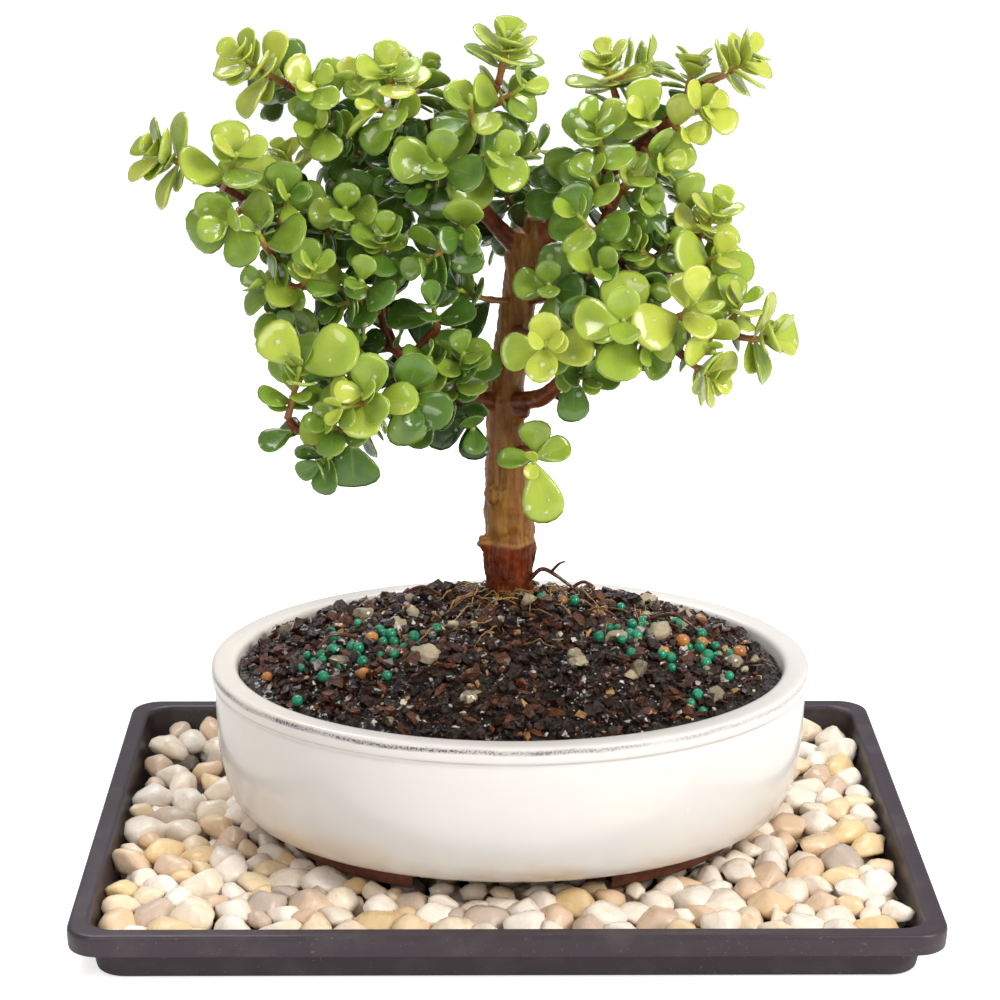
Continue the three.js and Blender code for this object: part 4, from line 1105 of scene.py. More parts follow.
# Loose stones
@dataclass(frozen=True)
class StoneShape:
    """How one stone differs from a ball: its sides, how its top and end draw in, and how it leans."""

    DENT = 0.3
    FACETS = 9
    FACET_REACH = (0.62, 0.8)
    FLATNESS = 0.85

    width: float
    height: float
    taper: float
    lean: float
    nose: float
    round_off: float

    def model(self, level: int) -> Template:
        """Models the stone, a unit long each way from its middle.

        Args:
            level: How often its faces are divided.

        Returns:
            The stone as a template.
        """
        stone = Bench.add(bpy.ops.mesh.primitive_cube_add, size=2)
        with Bench.editing(stone):
            Bench.choose(stone, "FACE", lambda place: place.z > 0.9)
            bpy.ops.transform.resize(value=(self.taper, self.taper, 1), center_override=(0, 0, 1))
            bpy.ops.transform.translate(value=(self.lean, self.lean * 0.6, 0))
            Bench.choose(stone, "FACE", lambda place: place.x > 0.7)
            bpy.ops.transform.resize(value=(1, self.nose, self.nose), center_override=(1, 0, 0))
            Bench.choose(stone, "FACE", lambda place: place.y < -0.7)
            bpy.ops.transform.translate(value=(-self.lean, 0, self.lean * 0.5))
        Bench.apply(stone, "SUBSURF", levels=level, render_levels=level)
        Bench.apply(stone, "CAST", factor=self.round_off, cast_type="SPHERE", radius=1.0)
        for vertex in stone.data.vertices:
            dent = mathutils.noise.noise(vertex.co * 1.3 + Vector((self.lean * 40, self.taper * 9, 0)))
            vertex.co *= 1 + self.DENT * dent
        points = np.array([vertex.co[:] for vertex in stone.data.vertices])
        dice = Dice(int(self.width * 1000 + self.taper * 70))
        for _ in range(self.FACETS):
            way = np.array([dice.swing(), dice.swing(), dice.swing()])
            way /= np.linalg.norm(way)
            reach = points @ way
            over = np.maximum(reach - dice.pick(*self.FACET_REACH) * reach.max(), 0)
            points -= self.FLATNESS * over[:, None] * way
        stone.data.vertices.foreach_set("co", points.ravel())
        half = np.abs(points).max(axis=0)
        return Template.of(Bench.freeze(stone, (1 / half[0], self.width / half[1], self.height / half[2])))


STONE_SHAPES = tuple(StoneShape(*row) for row in read_rows("""
    .86 .68 .8 .25 .7 .3, .72 .6 .7 -.3 .85 .15, .92 .75 .9 .2 .7 .4, .8 .55 .5 .4 .6 .1,
    .66 .62 .65 .15 .9 .3, .95 .6 .55 -.2 .65 .05, .78 .7 .95 -.4 .65 .2, .88 .5 .75 .3 1 .05
"""))


# How often things are pushed apart, and by which share of what they overlap
ROUNDS = 90
GIVE = 0.45


def settle(places: np.ndarray, sizes: np.ndarray, keep_in: Callable[[np.ndarray], np.ndarray]) -> np.ndarray:
    """Pushes things on a plane apart until they hardly overlap.

    Args:
        places: Their middles, one row each.
        sizes: How far each keeps the others off.
        keep_in: Takes all places and returns them moved back into bounds.

    Returns:
        The new places.
    """
    for _ in range(ROUNDS):
        way = places[:, None, :] - places[None, :, :]
        far = np.linalg.norm(way, axis=2) + np.eye(len(places)) * 1e6
        short = np.maximum(sizes[:, None] + sizes[None, :] - far, 0)
        push = (way / far[:, :, None]) * short[:, :, None] * GIVE
        places = keep_in(places + push.sum(axis=1))
    return places


def tumble(points: np.ndarray, dice: Dice, tilt: float, spins: bool = True) -> np.ndarray:
    """Turns points about Z and tilts them about a level axis, as the dice fall.

    Args:
        points: One row each.
        dice: Throws the angles.
        tilt: The most that they tilt, in radians.
        spins: Whether they turn.

    Returns:
        The turned points.
    """
    turn = dice.swing(math.pi) if spins else 0.0
    tilt, way = dice.swing(tilt), dice.swing(math.pi)
    axis = Vector((math.cos(way), math.sin(way), 0))
    return points @ np.array(Matrix.Rotation(tilt, 3, axis) @ Matrix.Rotation(turn, 3, "Z")).T


@dataclass(frozen=True)
class Layer:
    """One layer of pebbles: how many, how high, how large, and how close they lie."""

    count: int
    height: float
    rise: float
    half: Pair
    closeness: float
    level: int
    seed: int


@dataclass
class PebbleBed:
    """Pebbles in the tray: a lower layer all over, and an upper one round the pot's feet."""

    tray: Tray
    pot: Pot
    lower: Layer = Layer(220, 6.9, 0.3, (6.4, 9.2), 0.84, 1, 311)
    upper: Layer = Layer(270, 12.2, 1.0, (5.0, 9.6), 0.78, 2, 1123)
    foot_inset: float = 21.0
    wall_gap: float = 14
    tilt: float = 0.35
    notch_rings: Pair = (25.0, 35.0)
    notch_height: float = 12.6
    notch_half: Pair = (4.8, 6.0)
    notch_spacing: float = 9
    tone_power: float = 1.6

    def keep_in(
            self, layer: Layer, sizes: np.ndarray, round_pot: bool) -> Callable[[np.ndarray], np.ndarray]:
        """Gives the rule that keeps a layer in the tray and, if asked, off the pot's foot."""
        tray = np.array([self.tray.length, self.tray.width])
        limit = tray / 2 - self.tray.wall_inset(layer.height) - sizes[:, None] * 0.9

        def hold(places: np.ndarray) -> np.ndarray:
            """Moves places back between the walls and out from under the pot."""
            if round_pot:
                half = np.array([self.pot.length, self.pot.width]) / 2 - self.foot_inset
                off = places - np.array(self.pot.centre)
                room = half[None, :] + sizes[:, None] * 0.8
                reach = np.linalg.norm(off / room, axis=1)
                out = np.where(reach < 1, 1 / np.maximum(reach, 0.05), 1.0)
                places = np.array(self.pot.centre) + off * out[:, None]
            return np.clip(places, -limit, limit)

        return hold

    def lay(self, layer: Layer, round_pot: bool, bed: Copies) -> None:
        """Lays one layer.

        Args:
            layer: Its sizes.
            round_pot: Whether it stays off the pot's foot.
            bed: Takes the pebbles.
        """
        dice = Dice(layer.seed)
        templates = [shape.model(layer.level) for shape in STONE_SHAPES]
        halves = np.array([dice.pick(*layer.half) for _ in range(layer.count)])
        spread = (self.tray.length / 2 - self.wall_gap, self.tray.width / 2 - self.wall_gap)
        places = np.array([[dice.swing(spread[0]), dice.swing(spread[1])] for _ in range(layer.count)])
        places = settle(places, halves * layer.closeness, self.keep_in(layer, halves, round_pot))
        for (x, y), half in zip(places, halves):
            template = dice.choose(templates)
            stone = tumble(template.points * half, dice, self.tilt)
            height = layer.height + dice.swing(layer.rise)
            lowest = self.tray.floor + 0.1 - stone[:, 2].min()
            below_pot = self.pot.foot - 0.3 - stone[:, 2].max()
            z = max(height, lowest) if round_pot else min(lowest, below_pot)
            stone = self.clip(stone + np.array([x, y, z]))
            bed.add(template, stone, tone=dice.throw() ** self.tone_power)

    def fill_notches(self, bed: Copies) -> None:
        """Pushes pebbles under the pot between its feet."""
        pot, dice = self.pot, Dice(419)
        templates = [shape.model(1) for shape in STONE_SHAPES]
        half = np.array([pot.length, pot.width]) / 2
        for ring in self.notch_rings:
            around = int(2 * math.pi * (half.mean() - ring) / self.notch_spacing)
            for step in range(around):
                angle = 2 * math.pi * step / around
                x, y = (half - ring - dice.pick(0, 2)) * (math.cos(angle), math.sin(angle))
                if abs(x) < pot.front_notch / 2 - 5 or abs(y) < pot.end_notch / 2 - 5:
                    template = dice.choose(templates)
                    stone = tumble(template.points * dice.pick(*self.notch_half), dice, 0.3, False)
                    stone += (x + pot.centre[0], y + pot.centre[1], self.notch_height)
                    stone[:, 2] = np.minimum(stone[:, 2], pot.foot + pot.foot_height - 0.6)
                    bed.add(template, stone, tone=dice.throw() ** self.tone_power)

    def clip(self, points: np.ndarray) -> np.ndarray:
        """Flattens what would stand in the tray's wall or floor."""
        inset = np.array([self.tray.wall_inset(height) for height in points[:, 2]]) + 0.2
        for axis, size in enumerate((self.tray.length, self.tray.width)):
            points[:, axis] = np.clip(points[:, axis], inset - size / 2, size / 2 - inset)
        points[:, 2] = np.maximum(points[:, 2], self.tray.floor + 0.05)
        return points

    def build(self, material: Material) -> Thing:
        """Lays both layers, dresses them and hands them over."""
        bed = Copies()
        self.lay(self.lower, False, bed)
        self.lay(self.upper, True, bed)
        self.fill_notches(bed)
        return hand_over(bed.make([material]), "pebbles", ["pebble_bed"])


# Soil
@dataclass
class Soil:
    """Mound of dark mix round the trunk, with crumbs, grit, stones, feed beads and rootlets."""

    pot: Pot
    trunk_foot: Pair = (1.5, 20)
    rim: float = 68.5
    inset: float = 9.6
    edge: float = 9
    dome: float = 19.5
    collar: float = 3
    collar_reach: float = 18
    pitch: float = 1.35
    rise: float = 0.9
    grain_height: float = 1.35
    crumbs: int = 8600
    small_stones: int = 70
    rootlets: int = 150
    trunk_gap: float = 8.6
    green_bead: Pair = (1.5, 2.15)
    orange_bead: Pair = (1.9, 2.7)
    root_reach: Pair = (9, 48)
    root_length: Pair = (7, 20)
    root_radius: Pair = (0.16, 0.42)
    wall: tuple[Pair, ...] = ((12.5, 42), (18.8, 29.8), (31, 25.0))
    screen: Pair = (26.6, 1.4)

    def from_trunk(self, x: float, y: float) -> float:
        """Returns how far a place is from the trunk's middle."""
        return math.hypot(x - self.trunk_foot[0], y - self.trunk_foot[1])

    def height(self, x: float, y: float) -> float:
        """Returns the mound's height, without its grain."""
        reach = self.pot.reach(x, y, self.edge)
        dome = self.dome * max(1 - reach * reach, 0) ** 0.9
        collar = self.collar * math.exp(-((self.from_trunk(x, y) / self.collar_reach) ** 2))
        broad = 1.1 * math.sin(0.08 * x + 1.3) * math.cos(0.09 * y)
        small = 0.8 * math.sin(0.12 * x - 0.1 * y + 0.5)
        return self.rim + dome + collar + (broad + small) * min(1, 2.5 * (1.02 - reach))

    def top(self, x: float, y: float) -> float:
        """Returns the mound's height with its fine lumps."""
        lumps = mathutils.noise.fractal(Vector((x, y, 3.0)) / 6.5, 0.8, 2.1, 3)
        clods = mathutils.noise.cell(Vector((x + 1.2 * lumps, y, 7.0)) / 2.6)
        return self.height(x, y) + (self.rise + self.grain_height * (lumps + 0.5 * clods))

    def model_mound(self) -> Thing:
        """Models the soil: a divided sheet, walls to the pot's floor, a base, and room for the screens."""
        outline = self.pot.outline()
        mound = outline.sheet(self.inset, self.rim)
        cuts = [((x, 0, 0), (1, 0, 0)) for x in np.arange(-98, 104, self.pitch)]
        cuts += [((0, y, 0), (0, 1, 0)) for y in np.arange(-82, 82, self.pitch)]
        with Bench.editing(mound):
            Bench.slice(*cuts)
            Bench.choose_rim()
            outline.extrude([(self.inset, self.rim), *self.wall])
            bpy.ops.mesh.edge_face_add()
        Bench.face_outwards(mound)
        for vertex in mound.data.vertices:
            if vertex.co.z > self.rim - 0.01:
                vertex.co.z = self.top(vertex.co.x, vertex.co.y)
        size, depth = self.screen
        for side in (-1, 1):
            where = (self.pot.centre[0] + side * self.pot.drain_offset, self.pot.centre[1], self.pot.floor)
            recess = Bench.add(bpy.ops.mesh.primitive_cube_add, size=1, location=where)
            Bench.cut(mound, Bench.freeze(recess, (size, size, 2 * depth)))
        return mound

    def place_on(self, points: np.ndarray, x: float, y: float, sink: float) -> np.ndarray:
        """Sets a thing down on the mound, with a share of its half height in the soil."""
        return points + np.array([x, y, self.top(x, y) + points[:, 2].max() * (1 - sink)])

    def on_mound(self, dice: Dice, margin: float = 0.95) -> Pair:
        """Throws a place on the mound, clear of the trunk."""
        while True:
            x = self.pot.centre[0] + dice.swing(self.pot.length / 2)
            y = self.pot.centre[1] + dice.swing(self.pot.width / 2)
            if self.pot.reach(x, y, self.edge) < margin and self.from_trunk(x, y) > self.trunk_gap:
                return x, y

    def model_chip(self, sides: int, seed: int) -> Template:
        """Models a small irregular lump with few faces.

        Args:
            sides: Corners round it, or 0 for a ball of triangles.
            seed: Makes it differ from the others.

        Returns:
            The lump as a template.
        """
        if sides:
            chip = Bench.add(bpy.ops.mesh.primitive_cylinder_add, vertices=sides, radius=1, depth=1.4)
        else:
            chip = Bench.add(bpy.ops.mesh.primitive_ico_sphere_add, subdivisions=1, radius=1)
        with Bench.editing(chip):
            bpy.ops.transform.vertex_random(offset=0.42, seed=seed)
        return Template.of(chip)

    def lay_crumbs(self, finishes: dict[Grain, Material]) -> Thing:
        """Scatters peat, bark, chips and grit over the mound."""
        # Each with its share so far, its least half size and how much larger it gets
        kinds = (
            (Grain.PEAT, 0.6, 0.6, 2.2), (Grain.BARK, 0.84, 0.6, 3.2), (Grain.CHIP, 0.93, 0.4, 2.2),
            (Grain.GRIT, 1.0, 0.35, 1.15),
        )
        templates = [self.model_chip(sides, seed) for seed, sides in enumerate((4, 0, 5, 0, 4, 0))]
        dice = Dice(5077)
        crumbs = Copies()
        for _ in range(self.crumbs):
            x, y = self.on_mound(dice)
            throw = dice.throw()
            slot = next(slot for slot, kind in enumerate(kinds) if throw <= kind[1])
            half = kinds[slot][2] + kinds[slot][3] * dice.throw() ** 4
            slim = dice.pick(0.3, 0.75) if slot in (1, 2) else dice.pick(0.7, 1.0)
            template = dice.choose(templates)
            shape = template.points * half * np.array([1, slim, slim * dice.pick(0.5, 0.9)])
            shape = tumble(shape, dice, 0.9)
            crumbs.add(template, self.place_on(shape, x, y, dice.pick(0.1, 0.8)), slot, tone=dice.throw())
        piece = crumbs.make([finishes[kind[0]] for kind in kinds])
        piece.data.polygons.foreach_set("use_smooth", [False] * len(piece.data.polygons))
        return hand_over(piece, "soil_crumbs")

    def lay_stones(self, finishes: dict[Grain, Material]) -> Thing:
        """Lays the grey and tan stones."""
        dice = Dice(733)
        templates = [shape.model(2) for shape in STONE_SHAPES]
        stones = Copies()
        rows = list(SOIL_STONES)
        for _ in range(self.small_stones):
            x, y = self.on_mound(dice, 0.9)
            rows.append((x, y, 1.2 + 2.4 * dice.throw() ** 2))
        for x, y, half in rows:
            template = dice.choose(templates)
            shape = template.points * half * 1.15
            shape *= 1 + 0.16 * np.sin(2.3 * shape + half * 7).sum(axis=1, keepdims=True) / 3
            stones.add(template, self.place_on(tumble(shape, dice, 0.5), x, y, 0.4), tone=dice.throw())
        piece = stones.make([finishes[Grain.STONE]])
        Bench.dress(piece, finishes[Grain.STONE], 25)
        return hand_over(piece, "soil_stones")

    def lay_twigs(self, finishes: dict[Grain, Material]) -> Thing:
        """Lays the dark twigs that stick out of the soil."""
        tubes = [Line(places, 1.0).tube(1) for places in SOIL_TWIGS.values()]
        twigs = Bench.take(*tubes)
        bpy.ops.object.join()
        Bench.dress(twigs, finishes[Grain.BARK])
        Bench.mark(twigs, "tone", [0.5] * len(twigs.data.vertices))
        return hand_over(twigs, "soil_twigs")

    def lay_beads(self, finishes: dict[Grain, Material]) -> Thing:
        """Lays the round feed beads: drifts of green ones, and single orange ones."""
        template = Template.of(Bench.add(
            bpy.ops.mesh.primitive_uv_sphere_add, segments=10, ring_count=7, radius=1))
        dice = Dice(977)
        beads = Copies()
        for drift_x, drift_y, wide, deep, count in BEAD_DRIFTS:
            for _ in range(count):
                x = drift_x + (dice.throw() + dice.throw() - 1) * wide
                y = drift_y + (dice.throw() + dice.throw() - 1) * deep
                if self.from_trunk(x, y) > 11 and self.pot.reach(x, y, self.edge) < 0.94:
                    shape = template.points * dice.pick(*self.green_bead)
                    beads.add(template, self.place_on(shape, x, y, 0.3), 0, tone=dice.throw())
        for x, y in ORANGE_BEADS:
            half = dice.pick(*self.orange_bead)
            shape = template.points * half * np.array([1, dice.pick(0.85, 1), dice.pick(0.8, 0.95)])
            beads.add(template, self.place_on(shape, x, y, 0.25), 1, tone=dice.throw())
        made = beads.make([finishes[Grain.GREEN_BEAD], finishes[Grain.ORANGE_BEAD]])
        return hand_over(made, "feed_beads")

    def lay_rootlets(self, finishes: dict[Grain, Material]) -> Thing:
        """Lays fine roots that wander over the mound, most of them near the trunk."""
        stem = Bench.add(bpy.ops.mesh.primitive_cylinder_add, vertices=5, radius=1, depth=1)
        with Bench.editing(stem):
            Bench.slice(*(((0, 0, step / 9 - 0.5), (0, 0, 1)) for step in range(1, 9)))
        template = Template.of(stem)
        dice = Dice(2203)
        roots = Copies()
        for _ in range(self.rootlets):
            near = dice.throw() ** 2
            angle = dice.swing(math.pi) - math.pi / 2 * (1 - near)
            far = self.root_reach[0] + self.root_reach[1] * near
            x = self.trunk_foot[0] + far * math.cos(angle)
            y = self.trunk_foot[1] + far * math.sin(angle) * 0.8
            length, bend = dice.pick(*self.root_length), dice.swing(1.6)
            way, thick = dice.swing(math.pi), dice.pick(*self.root_radius)
            share = template.points[:, 2] + 0.5
            turn = way + bend * share
            line_x = x + length * share * np.cos(turn)
            line_y = y + length * share * np.sin(turn)
            end = (x + length * math.cos(way + bend), y + length * math.sin(way + bend))
            if self.pot.reach(*end, self.edge) > 0.95:
                continue
            hop = dice.pick(1.0, 4.0)
            line_z = np.array([self.top(a, b) for a, b in zip(line_x, line_y)])
            line_z += hop * np.sin(math.pi * share) - 0.1
            slim = thick * (1 - 0.6 * share)
            points = np.stack([
                line_x - np.sin(turn) * template.points[:, 0] * slim,
                line_y + np.cos(turn) * template.points[:, 0] * slim,
                line_z + template.points[:, 1] * slim], axis=1)
            roots.add(template, points, tone=dice.throw())
        return hand_over(roots.make([finishes[Grain.ROOT]]), "rootlets")

    def build(self, finishes: dict[Grain, Material]) -> Thing:
        """Models the mound and lays on it all that it carries."""
        mound = self.model_mound()
        Bench.dress(mound, finishes[Grain.PEAT], 60)
        self.lay_crumbs(finishes)
        self.lay_stones(finishes)
        self.lay_beads(finishes)
        self.lay_rootlets(finishes)
        self.lay_twigs(finishes)
        return hand_over(mound, "soil_mound", ["soil"])


# Drifts of green beads: where, how far they spread, and how many
BEAD_DRIFTS = ((-50, -20, 34, 34, 34), (56, -14, 34, 38, 36), (12, 5, 14, 12, 3))
# Where single orange beads lie
ORANGE_BEADS = (
    (-45, -14), (-47, -36), (-80, -20), (20, 10), (60, -13), (67, -8), (84, 10), (70, 30),
    (53, -22), (80, -6),
)
# Large stones: where, and how large
SOIL_STONES = (
    (-38, -5, 5.2), (-27, -35, 4.4), (53, -8, 4.8), (38, -20, 3.6), (69, -40, 4.2),
    (43, -38, 3.8), (-74, 20, 4.0), (-11, -54, 4.4), (-49, 14, 3.2), (24, -36, 3.4),
)
SOIL_TWIGS = read_limbs({
    "forked": "9 17 96 .9, 13 16 100 .8, 18 15 98 .7, 26 14 92 .4",
    "fork": "16 15 99 .6, 19 13 103 .5, 21 12 104 .3",
    "right": "22 16 92 .7, 28 14 96 .6, 33 10 91 .4",
    "left": "-22 14 91 .7, -28 12 95 .6, -35 14 92 .4",
    "front": "-6 6 91 .6, -12 2 95 .5, -19 0 90 .3",
    "far right": "50 4 86 .7, 58 0 89 .6, 66 -2 84 .4",
    "far left": "-50 -14 86 .8, -58 -18 88 .6, -63 -20 84 .4",
})


# Tree
@dataclass(frozen=True)
class ShootPlan:
    """A planned shoot: its stem's number, its ends, its pairs, their leaves' length and age, and its turn."""

    stem: int
    start: Place
    tip: Place
    pairs: int
    leaf: float
    age: float
    turn: float

    @classmethod
    def read(cls, table: str) -> tuple["ShootPlan", ...]:
        """Reads plans from a table."""
        return tuple(
            cls(int(row[0]), tuple(row[1:4]), tuple(row[4:7]), int(row[7]), *row[8:])
            for row in read_rows(table))


@dataclass(frozen=True)
class ChosenLeaf:
    """A leaf that stands out on this tree, placed by its root, its tip and the way its face looks."""

    stem: int
    root: Place
    tip: Place
    face: Place
    width: float
    age: float


LIMBS = read_limbs({
    "trunk": (
        "1.5 20 56 5.6, 1.5 20 84 7.4, 1.8 20 96 8.2, 1.7 19 107.5 9.3, 2 19 111 8.8, 1.2 18 124 8.4, "
        ".5 17 141 7.2, 0 16 156 6.5, 0 16 160.5 7.1, 0 16 165 6.3, 1 15 171 6.2, 3.2 14 189 6.2, "
        "5.8 13 203 6.5, 6.7 12 212.5 7, 7.3 12 220 5.6"
    ),
    "right arm": (
        "8 12 212 4.4, 14.5 9 220 4.1, 22.5 5 230 3.6, 30.5 1 239.5 3.2, 38.5 -2 247 2.8, 48 -4 255.5 2.4, "
        "56 -6 263.5 2, 63.5 -8 272 1.7"
    ),
    "left arm": (
        "5.5 12 212.5 3.8, -3 8 222 3.1, -10.5 3 232.5 2.7, -14.5 0 241.5 2.4, -12 -2 252.5 2.1, "
        "-7 -1 263 1.9, -3 0 270.5 1.6"
    ),
    "crown left": "-12.5 2 236.5 2.2, -22 6 244.5 2, -31 4 256.5 1.8, -36.5 0 265 1.6",
    "far left top": (
        "-13 4 235 2.3, -28.5 16 238.5 2.2, -43.5 18 245 2, -55 14 254.5 1.8, -65 8 264.5 1.7, "
        "-72 4 270 1.5"
    ),
    "left middle": "-22 6 244.5 2, -35 14 230.5 2, -53.5 14 225 1.9, -64 8 229 1.7, -67.5 4 237 1.5",
    "far left": "-64 8 229 1.7, -73.5 0 230.5 1.7, -84.5 -6 233.5 1.6, -94 -8 240 1.6, -100 -10 245.5 1.5",
    "low left": "0 16 160 3.3, -12 6 164 2.9, -22 -4 169.5 2.7, -28.5 -11 176.5 2.6, -32 -15 181.5 2.6",
    "low left up": (
        "-32 -15 181.5 2.2, -37 -14 187 2.1, -40.5 -12 195.5 1.9, -41.5 -10 204.5 1.8, -41.5 -10 211.5 1.6"
    ),
    "low left out": (
        "-37 -14 187 2.1, -51.5 -4 182.5 2, -62.5 -6 185 1.9, -67.5 -10 195 1.8, -72 -14 209 1.7, "
        "-76 -18 218 1.5"
    ),
    "low left fork": "-32 -15 181.5 2.1, -27.5 -17 188 1.9, -22.5 -22 195 1.6",
    "low left down": (
        "-32 -15 181.5 2.3, -34.5 -26 178.5 2.1, -40.5 -32 172.5 2, -49.5 -36 165 1.9, -59.5 -38 163.5 1.8, "
        "-67 -38 165 1.6, -70.5 -38.6 169 1.5"
    ),
    "right middle": (
        "6.5 13 196.5 3.1, 16 2 201.5 2.9, 24 -8 207.5 2.7, 28 -12 214.5 2.7, 30 -12 223 2.2, "
        "33.5 -10 232 2, 37 -12 239 1.6"
    ),
    "right middle out": "28 -12 214.5 2.2, 38 -4 212 2.1, 49 2 209 2, 59 4 209.5 1.8, 61.5 2 217 1.6",
    "low right": (
        "2 14 180.5 2.9, 13 0 183.5 2.6, 25.5 -12 189.5 2.5, 40 -18 194 2.2, 51 -20 196.5 2, "
        "64 -22 196 1.8, 75 -24 192.5 1.6"
    ),
    "low right down": "46.5 -19 195.5 1.9, 53.5 -22 189 1.7, 58.5 -24 184.5 1.5",
    "short right": "1 14 160.5 3.3, 11.5 4 164.5 3.1, 17.5 -2 171 2.6, 19 -4 175.5 1.7",
    "front spur": "3 13 185.5 2.3, 7.5 -10 188.5 2.1, 11.5 -26 189 1.6",
    "trunk spur": "1 16 141 2.4, 8.5 7 145.5 2, 12 1 149 1.6",
    "right upper": "38.5 -2 247 2.2, 37 8 255 1.9, 36 12 264 1.6",
    "back arm": "7.5 12 214 4, 8.5 28 215 3.2, 6 42 218 2.6, 2.5 54 223.5 2.1, 0 62 229 1.6",
    "back left": "8.5 28 215 2.4, -5 42 213 2.2, -18 50 213.5 1.9, -29 52 219 1.6",
    "back right": "6 42 218 2.3, 19.5 52 220.5 2, 33 54 223.5 1.7, 43.5 52 227.5 1.5",
})


SHOOTS = ShootPlan.read("""
1 -72 4 270 -86 -6 281 4 14 .15 60, 2 -100 -10 245.5 -114 -14 251 4 14 .3 20,
3 -92 -8 238 -86 -22 252 3 16 .35 10, 4 -84.5 -6 233.5 -90 -26 230 3 16 .5 30,
5 -76 -18 218 -80 -26 228 3 14 .4 0, 6 -67.5 4 237 -73 0 249 4 9 .02 40, 7 -65 8 264.5 -71 22 272 3 15 .9 0,
7 -68 16 268 -78 26 262 2 14 .85 0, 8 -36.5 0 265 -38 -8 277 4 14 .25 0,
9 -31 4 256.5 -43 -16 268 3 13 .35 40, 9 -37 -6 260.9 -50 -8 274 2 13 .3 0,
10 -34 2 261 -26 10 274 4 12 .4 20, 11 -3 0 270.5 0 -4 286 5 13 .3 0, 12 -7 -1 263 5 -18 273 3 13 .35 0,
13 -11 -2 254 -12 -18 270 4 12 .3 30, 14 36 12 264 32 8 278 4 13 .3 0,
14 34.2 10.2 269.6 47 12 276 3 14 .45 0, 15 32 1 241 28 -22 263 4 14 .5 45,
16 63.5 -8 272 78 -12 282 4 13 .25 20, 17 57 -6 265 60 0 278 3 12 .35 0, 18 52 -5 260 57 -20 258 2 12 .3 90,
19 -20 5 243 -22 -28 251 3 17 .4 80, 20 -13 -1 247 -3 -28 253 3 16 .45 60,
21 43 -3 251 50 -18 249 3 13 .45 10, 22 61.5 2 217 69 -6 232 4 13 .25 0, 22 63 0 221 59 12 232 3 14 .5 0,
23 60 4 211 69 -16 218 3 17 .35 90, 24 52 -20 196.5 60 -36 207 2 18 .3 20,
25 70 -23 194 75 -30 206 3 14 .35 0, 26 75 -24 192.5 86 -28 193 3 15 .35 0,
27 58.5 -24 184.5 67 -28 180 3 13 .35 90, 28 -49.5 -36 165 -50 -43 161 0 11 .85 0,
29 39 -17.5 193.5 36 -44 203 3 18 .3 90, 30 11.5 -26 189 12 -46 196 3 14 .2 0,
31 18 0 203 13 -24 210 3 14 .4 90, 32 12 1 149 9 -14 147 1 10 .2 90, 33 19 -4 175.5 27 -18 178 3 13 .45 90,
34 -11 3 232 -15 -30 226 3 16 .4 0, 34 -13 -13.5 227.3 -27 -27 217 3 14 .45 30,
35 4 14 196 -17 -16 207 3 15 .5 60, 36 -22.5 -22 195 -24 -30 205 2 14 .75 0,
37 -18 0 167 -14 -26 188 4 14 .5 30, 37 -16 -13 175.8 -26 -27 187 3 13 .55 0,
38 -12 6 164 -11 -12 158 2 16 .85 0, 39 -70.5 -38.6 169 -66 -42 188 3 12 .5 20,
40 -40.5 -32 172.5 -46 -52 181 3 15 .35 0, 40 -43 -44 177.3 -53 -54 177 2 12 .3 0,
41 -35 -26 178 -30 -44 175 3 16 .7 80, 42 -53.5 14 225 -52 -20 234 3 15 .4 80,
42 -52.8 -1.3 227.3 -62 -11 222 3 13 .6 0, 43 -41.5 -10 211.5 -39 -22 226 4 14 .4 0,
43 -40.4 -15.4 217.1 -50 -18 226 3 14 .6 0, 44 -70 -12 203 -61 -32 218 3 14 .4 30,
44 -66.4 -20 208 -79 -26 210 3 13 .5 60, 45 -42 -10 203 -47 -32 213 3 14 .5 70,
45 -44 -18.8 205.8 -55 -25 203 3 14 .6 0, 46 -43.5 18 245 -47 30 233 3 14 .9 0,
47 -36 17 241.8 -40 37 247 3 14 .9 30, 48 49 2 209 52 -14 224 3 14 .45 20,
48 50 -4 213.6 40 -22 223 3 14 .4 0, 49 37 -12 239 40 -18 246 3 13 .4 0,
50 30 -12 223 22 -28 234 3 14 .45 0, 51 0 62 229 -1 66 241 4 14 .45 0,
51 -.3 63.4 233.5 13 70 237 3 14 .55 0, 52 -29 52 219 -42 56 223 3 15 .6 0,
52 -33.5 53.3 219.8 -26 60 229 3 14 .55 0, 53 43.5 52 227.5 56 52 232 3 15 .55 0,
53 48 52 228.4 43 58 240 3 14 .5 0
""")


CHOSEN_LEAVES = tuple(ChosenLeaf(*row) for row in (
    (39, (-65, -41.6, 186), (-47, -46, 197), (0.1, -0.8, 0.6), 18, 0.45),
    (39, (-65.5, -41.8, 187), (-78, -40, 200), (-0.2, -0.9, 0.4), 14.5, 0.35),
    (28, (-50, -41.5, 162), (-49.5, -43, 146.5), (0, -1, -0.2), 18.5, 1.15),
    (32, (9.3, -12, 147), (14, -17, 126), (0.1, -0.95, -0.25), 14.5, 0.3),
    (32, (10.5, -6, 147.5), (9.5, -10, 161), (0, -0.95, 0.3), 11.5, 0.5),
    (32, (10, -9, 147.3), (22, -8, 152), (-0.1, -0.9, 0.4), 9.5, 0.45),
    (32, (10, -9, 147.3), (-3.5, -11, 147), (0, -0.75, 0.6), 8, 0.5),
))


